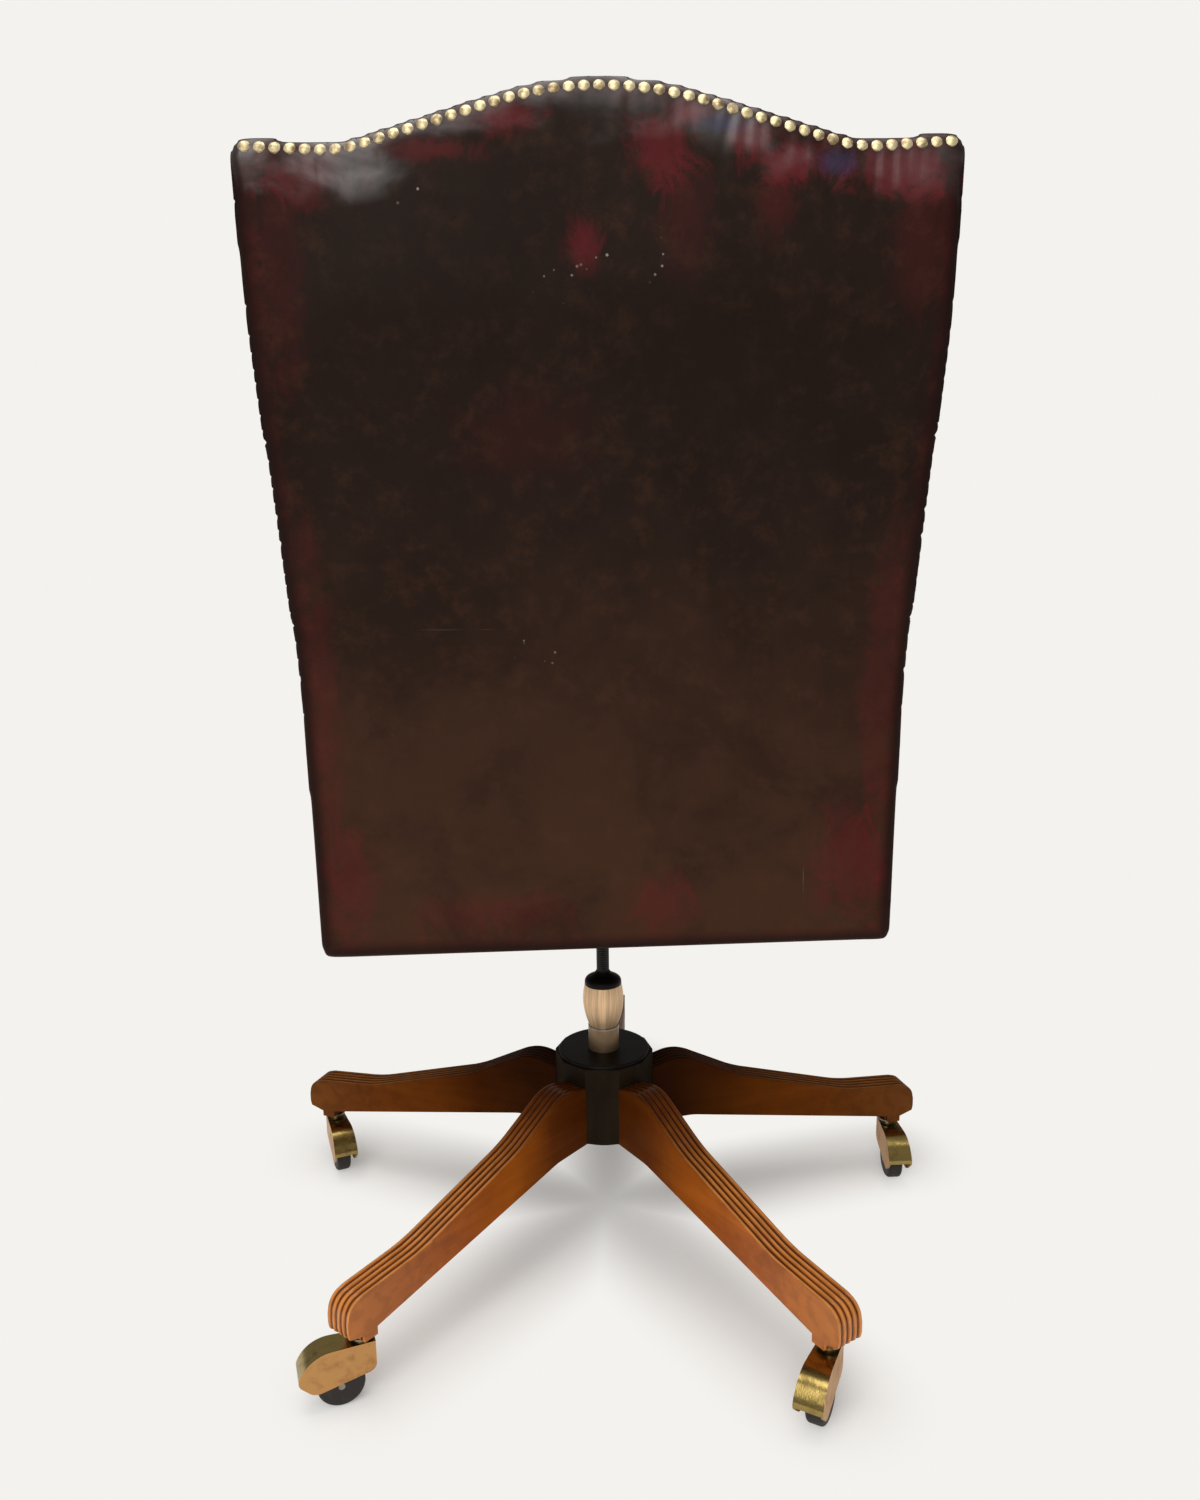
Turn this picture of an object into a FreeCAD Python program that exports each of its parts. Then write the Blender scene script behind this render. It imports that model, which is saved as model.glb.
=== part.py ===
import FreeCAD, Part
import math
import os

import Sketcher

# Swivel desk chair with a tall leather back on a five-armed reeded base.
# Millimetres, +Z up, origin on the floor under the spindle. The sitter faces -Y.

DRIVING_SIZES = {
    # base hub and column
    "hub_bottom": 116.0,
    "hub_top": 202.5,
    "hub_pillar_apothem": 51.0,
    "hub_arm_apothem": 52.0,
    "cap_radius": 50.0,
    "cap_thick": 3.5,
    "cap_round": 1.2,
    "tube_radius": 17.0,
    "tube_wall": 2.5,
    "tube_above_hub": 28.5,
    "tube_below_hub": 8.0,
    "bush_length": 34.0,
    "washer_thick": 2.0,
    "spider_thick": 3.0,
    "spider_hub_radius": 48.0,
    "spider_arm_width": 20.0,
    "spider_reach": 97.0,
    "wood_screw_radius": 2.0,
    "wood_screw_grip": 16.0,
    # reeded arms
    "castor_circle": 357.0,
    "arm_thick": 32.0,
    "arm_tip_thick": 28.5,
    "arm_root_top": 181.0,
    "arm_hump_top": 191.0,
    "arm_hump_out": 86.0,
    "arm_hump_round": 42.0,
    "arm_fall_out": 158.0,
    "arm_fall_top": 155.0,
    "arm_fall_round": 160.0,
    "arm_waist_before": 63.0,
    "arm_waist_top": 117.0,
    "arm_waist_round": 170.0,
    "arm_tip_beyond": 25.5,
    "arm_tip_top": 110.5,
    "arm_tip_round": 15.0,
    "arm_tip_rise": 15.0,
    "arm_heel_round": 13.0,
    "arm_belly_out": 100.0,
    "arm_belly_round": 60.0,
    "arm_ankle_rise": 8.0,
    "foot_bottom": 65.0,
    "foot_before": 7.0,
    "foot_beyond": 19.0,
    "sole_beyond": 8.0,
    "sole_step": 6.5,
    "sole_rise": 13.0,
    "reed_radius": 3.63,
    "tenon_thick": 16.0,
    "tenon_height": 40.0,
    "tenon_depth": 11.0,
    # castors
    "socket_radius": 5.5,
    "socket_depth": 32.0,
    "socket_flange_radius": 11.5,
    "socket_flange_thick": 1.8,
    "stem_radius": 4.0,
    "stem_collar_radius": 8.0,
    "hood_gap": 5.0,
    "hood_wall": 2.0,
    "hood_front_reach": 11.0,
    "hood_back_reach": 60.0,
    "hood_crown_out": 49.0,
    "hood_crown_round": 32.0,
    "hood_lip_height": 35.0,
    "hood_lip_round": 8.0,
    "hood_tail_out": 45.0,
    "hood_tail_height": 20.5,
    "hood_tail_round": 12.0,
    "hood_front_height": 31.5,
    "hood_front_round": 8.0,
    "hood_front_half_width": 10.2,
    "hood_back_half_width": 13.7,
    "hood_boss_height": 6.0,
    "wheel_radius": 21.7,
    "wheel_width": 16.4,
    "wheel_hub_radius": 7.0,
    "wheel_hub_width": 18.0,
    "wheel_tread_round": 3.5,
    "castor_trail": 21.0,
    "axle_radius": 3.0,
    "axle_bite": 1.2,
    # height nut and spindle
    "nut_height": 48.0,
    "nut_foot_radius": 15.5,
    "nut_belly_radius": 22.4,
    "nut_belly_height": 30.0,
    "nut_neck_radius": 20.2,
    "nut_cap_height": 15.0,
    "nut_cap_round": 7.0,
    "nut_cap_shoulder": 6.0,
    "spindle_radius": 6.5,
    "spindle_below_hub": 4.0,
    "spindle_flange_radius": 14.0,
    "spindle_flange_thick": 4.0,
    "spindle_flange_drop": 27.0,
    "spindle_tenon": 16.0,
    "keyway_width": 4.0,
    "keyway_depth": 2.0,
    "stop_collar_radius": 13.8,
    "stop_collar_height": 9.0,
    # tilt mechanism
    "housing_height": 37.0,
    "housing_floor_thick": 8.0,
    "housing_half_width": 34.0,
    "housing_wall": 5.0,
    "housing_front": 74.0,
    "housing_rear": 36.0,
    "housing_room": 11.0,
    "socket_boss_radius": 19.0,
    "swivel_bush_wall": 3.0,
    "tilt_pin_offset": 10.0,
    "tilt_pin_drop": 10.0,
    "tilt_pin_radius": 5.0,
    "ear_thick": 5.0,
    "ear_radius": 13.0,
    "ear_gap": 0.6,
    "bolt_out": 48.0,
    "bolt_radius": 4.0,
    "bolt_slot_half": 6.5,
    "bolt_slot_swing": 9.0,
    "spring_height": 28.0,
    "spring_radius": 11.0,
    "spring_wire": 1.4,
    "spring_seat_gap": 0.3,
    "cup_radius": 15.0,
    "cup_thick": 3.5,
    "knob_radius": 17.0,
    "knob_height": 11.5,
    "knob_round": 3.0,
    # seat plate and frame
    "plate_thick": 4.0,
    "plate_half_width": 105.0,
    "plate_front": 95.0,
    "plate_rear": 115.0,
    "bearer_height": 24.0,
    "bearer_width": 46.0,
    "bearer_front": 62.0,
    "bearer_rear": 82.0,
    "rail_bottom": 408.0,
    "rail_height": 53.0,
    "rail_thick": 25.0,
    "seat_front": 292.0,
    "seat_front_half_width": 288.0,
    "seat_back_half_width": 248.0,
    "webbing_thick": 2.0,
    "webbing_width": 50.0,
    "seat_leather": 5.0,
    "seat_corner_round": 14.0,
    "cushion_inset": 32.0,
    "cushion_front_inset": 7.0,
    "cushion_height": 36.0,
    "cushion_crown": 18.0,
    "cushion_draw": 16.0,
    # back
    "back_drop": 2.0,
    "back_face": 221.0,
    "back_knee_rise": 244.0,
    "back_knee_round": 420.0,
    "back_rake": 77.0,
    "back_shoulder_rise": 529.0,
    "back_shoulder_round": 260.0,
    "back_top_lean": 4.0,
    "back_height": 687.0,
    "back_bottom_half_width": 255.0,
    "back_ear_half_width": 268.5,
    "back_corner_round": 7.0,
    "crown_drop": 42.0,
    "crown_round": 288.0,
    "crown_shoulder_out": 188.5,
    "crown_shoulder_round": 90.0,
    "ear_rise": 4.0,
    "ear_round": 11.0,
    "outside_thick": 9.0,
    "frame_depth": 35.0,
    "stile_width": 38.0,
    "crest_width": 70.0,
    "border_thick": 5.0,
    "inside_thick": 24.0,
    "inside_crown": 26.0,
    "inside_rise": 17.0,
    "inside_side_draw": 14.0,
    "nail_radius": 4.65,
    "nail_height": 2.0,
    "nail_pitch": 10.9,
    "nail_end_gap": 8.0,
    "back_edge_roll": 8.5,
    # armrests
    "armrest_thick": 34.0,
    "armrest_rise": 207.0,
    "armrest_depth": 30.0,
    "armrest_drop": 14.0,
    "armrest_front": 186.0,
    "armrest_scroll_round": 24.0,
    "post_foot_out": 158.0,
    "post_foot_width": 58.0,
    "post_waist_width": 34.0,
    "post_waist_shift": 26.0,
    "post_round": 60.0,
    "armrest_edge_round": 5.0,
    "arm_pad_length": 232.0,
    "arm_pad_height": 24.0,
    "arm_pad_width": 46.0,
    # clearances
    "running_gap": 0.05,
    "soft_gap": 0.3,
    "overrun": 2.0,
}

# Directions in degrees, counter-clockwise seen from above, 0 along +X.
BASE_TURN = -93.6
ARM_COUNT = 5
ARM_STEP = 360.0 / ARM_COUNT
CASTOR_HEADINGS = (84.0, 112.5, 18.0, 60.8, 91.0)
SEAT_FLARE = 5.1
NAIL_TILT = 30.0

# Shares of the sizes that they follow.
PENTAGON_SHARE = 1.0 / math.cos(math.radians(180.0 / ARM_COUNT))
REED_COUNT = 5
REED_PITCH_SHARE = 1.0 / REED_COUNT
REED_FLOOR_SHARE = 0.42
NUT_SWELL_SHARE = 0.72
SCREW_PLACE_SHARES = (0.62, 0.88)
PLATE_SCREW_SHARE = 0.8
WEBBING_PLACE_SHARES = (-0.68, -0.34, 0.0, 0.34, 0.68)
CUSHION_BULGE_SHARE = 0.55
CUSHION_TUCK_SHARE = 0.6
CUSHION_SECTION_SHARES = (
    (0.0, 1.0, 0.5), (0.06, 0.35, 0.85), (0.25, 0.0, 1.0), (0.6, 0.0, 1.0), (0.92, 0.0, 0.9), (1.0, 0.3, 0.7),
)
BACK_LAYER_SHARES = (0.0, 0.12, 0.34, 0.58, 0.8, 1.0)
BACK_CROWN_SHARES = (0.25, 0.8, 1.0, 0.95, 0.75, 0.45)
KNOB_GRIP_COUNT = 8
KNOB_GRIP_SHARE = 0.16
POST_WAIST_SHARE = 0.459
SCROLL_SHARE = 1.5
INSIDE_BULGE_SHARE = 0.55
DRAW_BULGE_SHARE = 0.25
CUSHION_OUT_SHARE = 0.08
DOME_LIP_SHARE = 0.5
DOME_MOUTH_SHARE = 1.0 / 6.0
PAD_RING_SHARES = ((0.0, 0.55), (0.12, 0.9), (0.5, 1.0), (0.88, 0.95), (1.0, 0.6))
PAD_WIDTH_SHARES = (0.75, 0.25)
SPRING_TURNS = 3
QUARTERS = 4
HALVINGS = 60
SAME = 1e-6

doc = FreeCAD.newDocument("swivel_chair")
pieces = {}


class Length:
    """A length with its value and the formula that gives it from the sheet."""

    def __init__(self, value, formula):
        self.value = value
        self.formula = formula

    def joined(self, sign, other):
        value = self.value + (float(other) if sign == "+" else -float(other))
        return Length(value, "(%s %s %s)" % (self.formula, sign, text_of(other)))

    def __add__(self, other):
        return self.joined("+", other)

    def __radd__(self, other):
        return self.joined("+", other)

    def __sub__(self, other):
        return self.joined("-", other)

    def __mul__(self, share):
        return Length(self.value * share, "(%s * %.9f)" % (self.formula, share))

    __rmul__ = __mul__

    def __truediv__(self, share):
        return self * (1.0 / share)

    def __neg__(self):
        return self * -1.0

    def __float__(self):
        return float(self.value)


def text_of(length):
    return length.formula if isinstance(length, Length) else "%.9f" % length


class Sheet:
    """The driving dimensions, read back from the spreadsheet as lengths."""

    def __init__(self):
        self.cells = doc.addObject("Spreadsheet::Sheet", "Sizes")
        for row, (name, value) in enumerate(DRIVING_SIZES.items(), 1):
            self.cells.set("A%d" % row, name.replace("_", " "))
            self.cells.set("B%d" % row, str(value))
            self.cells.setAlias("B%d" % row, name)
        doc.recompute()

    def __getattr__(self, name):
        return Length(float(self.cells.get(name)), "Sizes." + name)


S = Sheet()

# Places that follow from the sizes.
ARM_WAIST_OUT = S.castor_circle - S.arm_waist_before
ARM_TIP_OUT = S.castor_circle + S.arm_tip_beyond
FOOT_INNER = S.castor_circle - S.foot_before
FOOT_OUTER = S.castor_circle + S.foot_beyond
ARM_TIP_BOTTOM = S.foot_bottom + S.arm_tip_rise
ARM_ANKLE = S.foot_bottom + S.arm_ankle_rise
HOOD_TOP = S.foot_bottom - S.hood_gap
TUBE_TOP = S.hub_top + S.tube_above_hub
SPINDLE_BOTTOM = S.hub_bottom - S.spindle_below_hub
RAIL_TOP = S.rail_bottom + S.rail_height
PLATE_BOTTOM = S.rail_bottom - S.plate_thick
HOUSING_TOP = PLATE_BOTTOM - S.housing_room
HOUSING_FLOOR = HOUSING_TOP - S.housing_height
PIN_HEIGHT = HOUSING_TOP - S.tilt_pin_drop
FLANGE_BOTTOM = HOUSING_FLOOR - S.spindle_flange_drop
SPINDLE_TOP = HOUSING_FLOOR + S.spindle_tenon
SPRING_BOTTOM = HOUSING_FLOOR - S.spring_height
BACK_BOTTOM = S.rail_bottom - S.back_drop
BACK_TOP = BACK_BOTTOM + S.back_height
KNEE_HEIGHT = BACK_BOTTOM + S.back_knee_rise
SHOULDER_HEIGHT = BACK_BOTTOM + S.back_shoulder_rise
INSIDE_BOTTOM = RAIL_TOP + S.inside_rise
ARMREST_TOP = RAIL_TOP + S.armrest_rise


def vec(x, y, z):
    return FreeCAD.Vector(float(x), float(y), float(z))


def turned_by(angle, x=0.0, y=0.0, z=0.0):
    """A place turned about +Z and then moved."""
    return FreeCAD.Placement(vec(x, y, z), FreeCAD.Rotation(vec(0, 0, 1), angle))


def node(label, thing, place=None):
    """Gives a finished sub-part its label, and its place if it has one."""
    thing.Label = label
    if place is not None:
        thing.Placement = place
    pieces[label] = thing
    return thing


def bind(thing, **lengths):
    """Binds properties to the sheet. A double underscore stands for a dot."""
    for name, length in lengths.items():
        thing.setExpression(name.replace("__", "."), text_of(length))
    return thing


# Constrained sketches and the bodies made from them


def new_body(name):
    return doc.addObject("PartDesign::Body", name)


def outline(body, plane, corners, lift=0.0):
    """A closed sketch whose corner points are bound to the sheet."""
    sketch = body.newObject("Sketcher::SketchObject", body.Name + "_outline")
    base = [f for f in body.Origin.OriginFeatures if f.Role == plane][0]
    sketch.AttachmentSupport = (base, [""])
    sketch.MapMode = "FlatFace"
    if isinstance(lift, Length):
        bind(sketch, AttachmentOffset__Base__z=lift)
    spots = [vec(across, up, 0) for across, up in corners]
    count = len(spots)
    for i in range(count):
        sketch.addGeometry(Part.LineSegment(spots[i], spots[(i + 1) % count]))
    for i in range(count):
        sketch.addConstraint(Sketcher.Constraint("Coincident", i, 2, (i + 1) % count, 1))
    for i, (across, up) in enumerate(corners):
        for kind, length, axis in (("DistanceX", across, -2), ("DistanceY", up, -1)):
            if float(length) == 0.0:
                sketch.addConstraint(Sketcher.Constraint("PointOnObject", i, 1, axis))
                continue
            rule = Sketcher.Constraint(kind, -1, 1, i, 1, float(length))
            place = sketch.addConstraint(rule)
            sketch.setExpression("Constraints[%d]" % place, length.formula)
    return sketch


def turned(name, corners):
    """A body turned about +Z from corners given as radius and height."""
    body = new_body(name)
    sketch = outline(body, "XZ_Plane", corners)
    spun = body.newObject("PartDesign::Revolution", name + "_turning")
    spun.Profile = sketch
    spun.ReferenceAxis = (sketch, ["V_Axis"])
    spun.Angle = 360.0
    body.Tip = spun
    return body


def slab(name, corners, bottom, thick):
    """A body padded up from a flat outline."""
    body = new_body(name)
    sketch = outline(body, "XY_Plane", corners, bottom)
    pad = body.newObject("PartDesign::Pad", name + "_pad")
    pad.Profile = sketch
    bind(pad, Length=thick)
    body.Tip = pad
    return body


def rounded_edges(body, feature, radius, picked):
    """Rounds the edges of a body's last feature that the test picks."""
    doc.recompute()
    edges = feature.Shape.Edges
    names = ["Edge%d" % (i + 1) for i, edge in enumerate(edges) if picked(edge)]
    fillet = body.newObject("PartDesign::Fillet", body.Name + "_round")
    fillet.Base = (feature, names)
    bind(fillet, Radius=radius)
    body.Tip = fillet
    return fillet


def rim_test(height, radius):
    """A test for the level round edge at one height and radius."""

    def test(edge):
        box = edge.BoundBox
        level = box.ZLength < SAME and abs(box.ZMin - float(height)) < SAME
        return level and abs(box.XMax - float(radius)) < SAME

    return test


# Part primitives and booleans


def block(name, x_from, x_to, y_from, y_to, z_from, z_to):
    box = doc.addObject("Part::Box", name)
    bind(box, Length=x_to - x_from, Width=y_to - y_from, Height=z_to - z_from)
    bind(box, Placement__Base__x=x_from, Placement__Base__y=y_from)
    return bind(box, Placement__Base__z=z_from)


def cylinder(name, radius, height, x=0.0, y=0.0, z=0.0):
    rod = doc.addObject("Part::Cylinder", name)
    bind(rod, Radius=radius, Height=height)
    return bind(rod, Placement__Base__x=x, Placement__Base__y=y, Placement__Base__z=z)


def cross_rod(name, radius, half_length, y, z):
    """A cylinder along X, centred on the middle plane."""
    rod = doc.addObject("Part::Cylinder", name)
    bind(rod, Radius=radius, Height=half_length * 2)
    rod.Placement.Rotation = FreeCAD.Rotation(vec(0, 1, 0), 90.0)
    bind(rod, Placement__Base__x=-half_length, Placement__Base__y=y)
    return bind(rod, Placement__Base__z=z)


def joined(name, *things):
    fuse = doc.addObject("Part::MultiFuse", name)
    fuse.Shapes = list(things)
    return fuse


def trimmed(name, base, tool):
    cut = doc.addObject("Part::Cut", name)
    cut.Base = base
    cut.Tool = tool
    return cut


def grouped(name, things):
    """Like fasteners kept as separate solids of one sub-part."""
    group = doc.addObject("Part::Compound", name)
    group.Links = things
    return group


def shaped(name, shape):
    """A sub-part whose form comes from wires, lofts and sweeps."""
    thing = doc.addObject("Part::Feature", name)
    thing.Shape = shape
    return thing


# Outlines of straight runs joined by tangent arcs


def side_on(across, up):
    """Across is outwards along X, up is Z."""
    return vec(across, 0, up)


def facing(across, up):
    """Across is Y, up is Z."""
    return vec(0, across, up)


def from_above(across, up):
    """Across is X, up is Y."""
    return vec(across, up, 0)


def plain(corners):
    """Corners as numbers, each with a rounding radius."""
    return [tuple(float(part) for part in (*corner, 0.0)[:3]) for corner in corners]


def run_edges(corners, to_space, closed=True):
    """Edges along the corners, each corner rounded by its own radius."""
    points = [FreeCAD.Vector(a, b, 0) for a, b, r in corners]
    count = len(points)
    joins = []
    for i, (a, b, radius) in enumerate(corners):
        here = points[i]
        if radius <= 0 or (not closed and i in (0, count - 1)):
            joins.append((here, None, here))
            continue
        back = (points[i - 1] - here).normalize()
        ahead = (points[(i + 1) % count] - here).normalize()
        half = back.getAngle(ahead) / 2
        reach = radius / math.tan(half)
        middle = (back + ahead).normalize() * (radius / math.sin(half) - radius)
        joins.append((here + back * reach, here + middle, here + ahead * reach))
    edges = []
    for i in range(count if closed else count - 1):
        leave, arrive = joins[i][2], joins[(i + 1) % count][0]
        if (arrive - leave).Length > SAME:
            ends = [to_space(p.x, p.y) for p in (leave, arrive)]
            edges.append(Part.LineSegment(*ends).toShape())
        start, middle, end = joins[(i + 1) % count]
        if middle is not None and (closed or i + 1 < count - 1):
            spots = [to_space(p.x, p.y) for p in (start, middle, end)]
            edges.append(Part.Arc(*spots).toShape())
    return edges


def shifted(corners, distance, closed=True):
    """The corners moved to the left of their direction of travel by a distance."""
    count = len(corners)
    points = [FreeCAD.Vector(a, b, 0) for a, b, r in corners]
    runs = []
    for i in range(count if closed else count - 1):
        along = (points[(i + 1) % count] - points[i]).normalize()
        left = FreeCAD.Vector(-along.y, along.x, 0)
        runs.append((points[i] + left * distance, along, left))
    moved = []
    for i, (a, b, radius) in enumerate(corners):
        if not closed and i == 0:
            moved.append((runs[0][0].x, runs[0][0].y, 0.0))
            continue
        if not closed and i == count - 1:
            spot = points[i] + runs[-1][2] * distance
            moved.append((spot.x, spot.y, 0.0))
            continue
        start, along, left = runs[i - 1]
        base, onward, other = runs[i]
        bend = along.x * onward.y - along.y * onward.x
        gap = base - start
        spot = start + along * ((gap.x * onward.y - gap.y * onward.x) / bend)
        grown = radius - math.copysign(distance, bend) if radius > 0 else 0.0
        moved.append((spot.x, spot.y, max(grown, 0.0)))
    return moved


def face_of(edges):
    return Part.Face(Part.Wire(Part.sortEdges(edges)[0]))


def prism(corners, to_space, start, travel):
    """A closed rounded outline carried along a straight way."""
    face = face_of(run_edges(corners, to_space))
    face.translate(start)
    return face.extrude(travel)


# Base


def hub():
    arm_faces = doc.addObject("Part::Prism", "hub_arm_faces")
    pillar_faces = doc.addObject("Part::Prism", "hub_pillar_faces")
    height = S.hub_top - S.hub_bottom
    for part, apothem, turn in (
        (arm_faces, S.hub_arm_apothem, ARM_STEP / 2),
        (pillar_faces, S.hub_pillar_apothem, 0.0),
    ):
        part.Polygon = ARM_COUNT
        bind(part, Circumradius=apothem * PENTAGON_SHARE, Height=height)
        part.Placement.Rotation = FreeCAD.Rotation(vec(0, 0, 1), BASE_TURN + turn)
        bind(part, Placement__Base__z=S.hub_bottom)
    core = doc.addObject("Part::MultiCommon", "hub_ten_sided")
    core.Shapes = [arm_faces, pillar_faces]
    bore = cylinder("hub_bore", S.tube_radius, height + S.overrun * 2, z=S.hub_bottom - S.overrun)
    cuts = [bore]
    for i in range(ARM_COUNT):
        mortise = shaped("hub_mortise_%d" % (i + 1), tenon_shape(0.0))
        mortise.Placement = turned_by(BASE_TURN + i * ARM_STEP)
        cuts.append(mortise)
    node("hub_core", trimmed("hub_core", core, joined("hub_openings", *cuts)))


def tenon_shape(gap):
    """The tongue at an arm's root, or with no gap the mortise that holds it."""
    middle = (S.hub_bottom + S.arm_root_top) / 2
    half = S.tenon_thick / 2 - gap
    size = vec(S.tenon_depth + S.overrun, half * 2, S.tenon_height)
    corner = vec(S.hub_arm_apothem - S.tenon_depth, -half, middle - S.tenon_height / 2)
    return Part.makeBox(size.x, size.y, size.z, corner)


def cap_and_column():
    cap = turned("hub_cap", [
        (S.tube_radius, S.hub_top),
        (S.cap_radius, S.hub_top),
        (S.cap_radius, S.hub_top + S.cap_thick),
        (S.tube_radius, S.hub_top + S.cap_thick),
    ])
    edge_height = S.hub_top + S.cap_thick
    rim = rounded_edges(cap, cap.Tip, S.cap_round, rim_test(edge_height, S.cap_radius))
    cap.Tip = rim
    node("hub_cap", cap)
    inside = S.tube_radius - S.tube_wall
    node("column_tube", turned("column_tube", [
        (inside, S.hub_bottom - S.tube_below_hub),
        (S.tube_radius, S.hub_bottom - S.tube_below_hub),
        (S.tube_radius, TUBE_TOP),
        (inside, TUBE_TOP),
    ]))
    bore = S.spindle_radius + S.running_gap
    node("thrust_washer", turned("thrust_washer", [
        (bore, TUBE_TOP),
        (S.tube_radius, TUBE_TOP),
        (S.tube_radius, TUBE_TOP + S.washer_thick),
        (bore, TUBE_TOP + S.washer_thick),
    ]))
    bush = turned("bush_ring", [
        (bore, TUBE_TOP - S.bush_length),
        (inside, TUBE_TOP - S.bush_length),
        (inside, TUBE_TOP),
        (bore, TUBE_TOP),
    ])
    key_top = S.keyway_depth - S.running_gap
    key_half = S.keyway_width / 2 - S.running_gap
    key = block(
        "bush_key", -key_half, key_half, bore - key_top, bore + S.overrun / 2,
        TUBE_TOP - S.bush_length, TUBE_TOP,
    )
    node("guide_bush", joined("guide_bush", bush, key))


def screw_places():
    """Where the wood screws pass through the spider into the arm roots."""
    for i in range(ARM_COUNT):
        for share in SCREW_PLACE_SHARES:
            yield turned_by(BASE_TURN + i * ARM_STEP), S.spider_reach * share


def spider():
    bottom = S.hub_bottom - S.spider_thick
    disc = cylinder("spider_disc", S.spider_hub_radius, S.spider_thick, z=bottom)
    fingers = []
    for i in range(ARM_COUNT):
        half = S.spider_arm_width / 2
        finger = shaped("spider_finger_%d" % (i + 1), Part.makeBox(
            float(S.spider_reach), float(half * 2), float(S.spider_thick), vec(0, -half, bottom)))
        finger.Placement = turned_by(BASE_TURN + i * ARM_STEP)
        fingers.append(finger)
    bore = cylinder("spider_bore", S.tube_radius, S.spider_thick + S.overrun * 2, z=bottom - S.overrun)
    holes = [bore]
    screws = []
    for number, (place, out) in enumerate(screw_places(), 1):
        for name, kept in (("spider_hole", holes), ("spider_screw", screws)):
            rod = shaped("%s_%d" % (name, number), Part.makeCylinder(
                float(S.wood_screw_radius), float(S.spider_thick + S.wood_screw_grip), vec(out, 0, bottom)))
            rod.Placement = place
            kept.append(rod)
    plate = joined("spider_whole", disc, *fingers)
    node("spider_plate", trimmed("spider_plate", plate, joined("spider_holes", *holes)))
    node("spider_screws", grouped("spider_screws", screws))


def arm_corners():
    """The top line of an arm from the hub out over the tip to the foot."""
    return plain([
        (S.hub_arm_apothem, S.arm_root_top),
        (S.arm_hump_out, S.arm_hump_top, S.arm_hump_round),
        (S.arm_fall_out, S.arm_fall_top, S.arm_fall_round),
        (ARM_WAIST_OUT, S.arm_waist_top, S.arm_waist_round),
        (ARM_TIP_OUT, S.arm_tip_top, S.arm_tip_round),
        (ARM_TIP_OUT, ARM_TIP_BOTTOM, S.arm_heel_round),
        (FOOT_OUTER, S.foot_bottom),
    ])


def arm_shape():
    """One arm along +X: a sawn side profile with five rounded reeds on its top and tip."""
    top_line = arm_corners()
    radius = float(S.reed_radius)
    pitch = float(S.arm_thick) * REED_PITCH_SHARE
    sag = radius - math.sqrt(radius ** 2 - (pitch / 2) ** 2)
    core_line = shifted(top_line, -sag * (1.0 - REED_FLOOR_SHARE), closed=False)
    below = plain([
        (FOOT_INNER, S.foot_bottom),
        (FOOT_INNER, ARM_ANKLE),
        (S.arm_belly_out, S.hub_bottom, S.arm_belly_round),
        (S.hub_arm_apothem, S.hub_bottom),
    ])
    core_line[0] = (float(S.hub_arm_apothem), core_line[0][1], 0.0)
    core_line[-1] = (core_line[-1][0], float(S.foot_bottom), 0.0)
    half = S.arm_thick / 2
    body = prism(core_line + below, side_on, vec(0, -half, 0), vec(0, S.arm_thick, 0))
    reed_line = shifted(top_line, -radius, closed=False)
    start, end = reed_line[0], reed_line[-1]
    before = float(S.hub_arm_apothem - S.overrun)
    slope = (reed_line[1][1] - start[1]) / (reed_line[1][0] - start[0])
    reed_line[0] = (before, start[1] + slope * (before - start[0]), 0.0)
    fall = (end[0] - reed_line[-2][0]) / (end[1] - reed_line[-2][1])
    lowest = float(S.foot_bottom - S.reed_radius - S.overrun)
    reed_line[-1] = (end[0] + fall * (lowest - end[1]), lowest, 0.0)
    way = Part.Wire(run_edges(reed_line, side_on, closed=False))
    heading = vec(1, 0, slope)
    reeds = []
    for lane in range(REED_COUNT):
        across = (lane - (REED_COUNT - 1) / 2) * pitch
        ring = Part.Wire(Part.Circle(vec(before, 0, reed_line[0][1]), heading, radius).toShape())
        reed = way.makePipeShell([ring], True, False)
        reed.translate(vec(0, across, 0))
        reeds.append(reed)
    solid = body.multiFuse(reeds)
    near, tip, tip_half = S.hub_arm_apothem, ARM_TIP_OUT, S.arm_tip_thick / 2
    plan = plain([(near, -half), (tip, -tip_half), (tip, tip_half), (near, half)])
    keep = prism(plan, from_above, vec(0, 0, S.foot_bottom), vec(0, 0, S.arm_hump_top))
    sole = prism(plain([
        (S.castor_circle + S.sole_beyond, S.foot_bottom - S.overrun),
        (ARM_TIP_OUT + S.overrun, S.foot_bottom - S.overrun),
        (ARM_TIP_OUT + S.overrun, S.foot_bottom + S.sole_rise),
        (S.castor_circle + S.sole_beyond, S.foot_bottom + S.sole_step),
    ]), side_on, vec(0, -half, 0), vec(0, S.arm_thick, 0))
    solid = solid.common(keep).cut(sole).removeSplitter()
    solid = solid.fuse(tenon_shape(0.0)).removeSplitter()
    tools = [Part.makeCylinder(
        float(S.socket_radius), float(S.socket_depth), vec(S.castor_circle, 0, S.foot_bottom))]
    for share in SCREW_PLACE_SHARES:
        tools.append(Part.makeCylinder(
            float(S.wood_screw_radius), float(S.wood_screw_grip), vec(S.spider_reach * share, 0, S.hub_bottom)))
    return solid.cut(tools)


def arms():
    shape = arm_shape()
    for i in range(ARM_COUNT):
        label = "arm_%d" % (i + 1)
        node(label, shaped(label, shape.copy()), turned_by(BASE_TURN + i * ARM_STEP))


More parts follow.
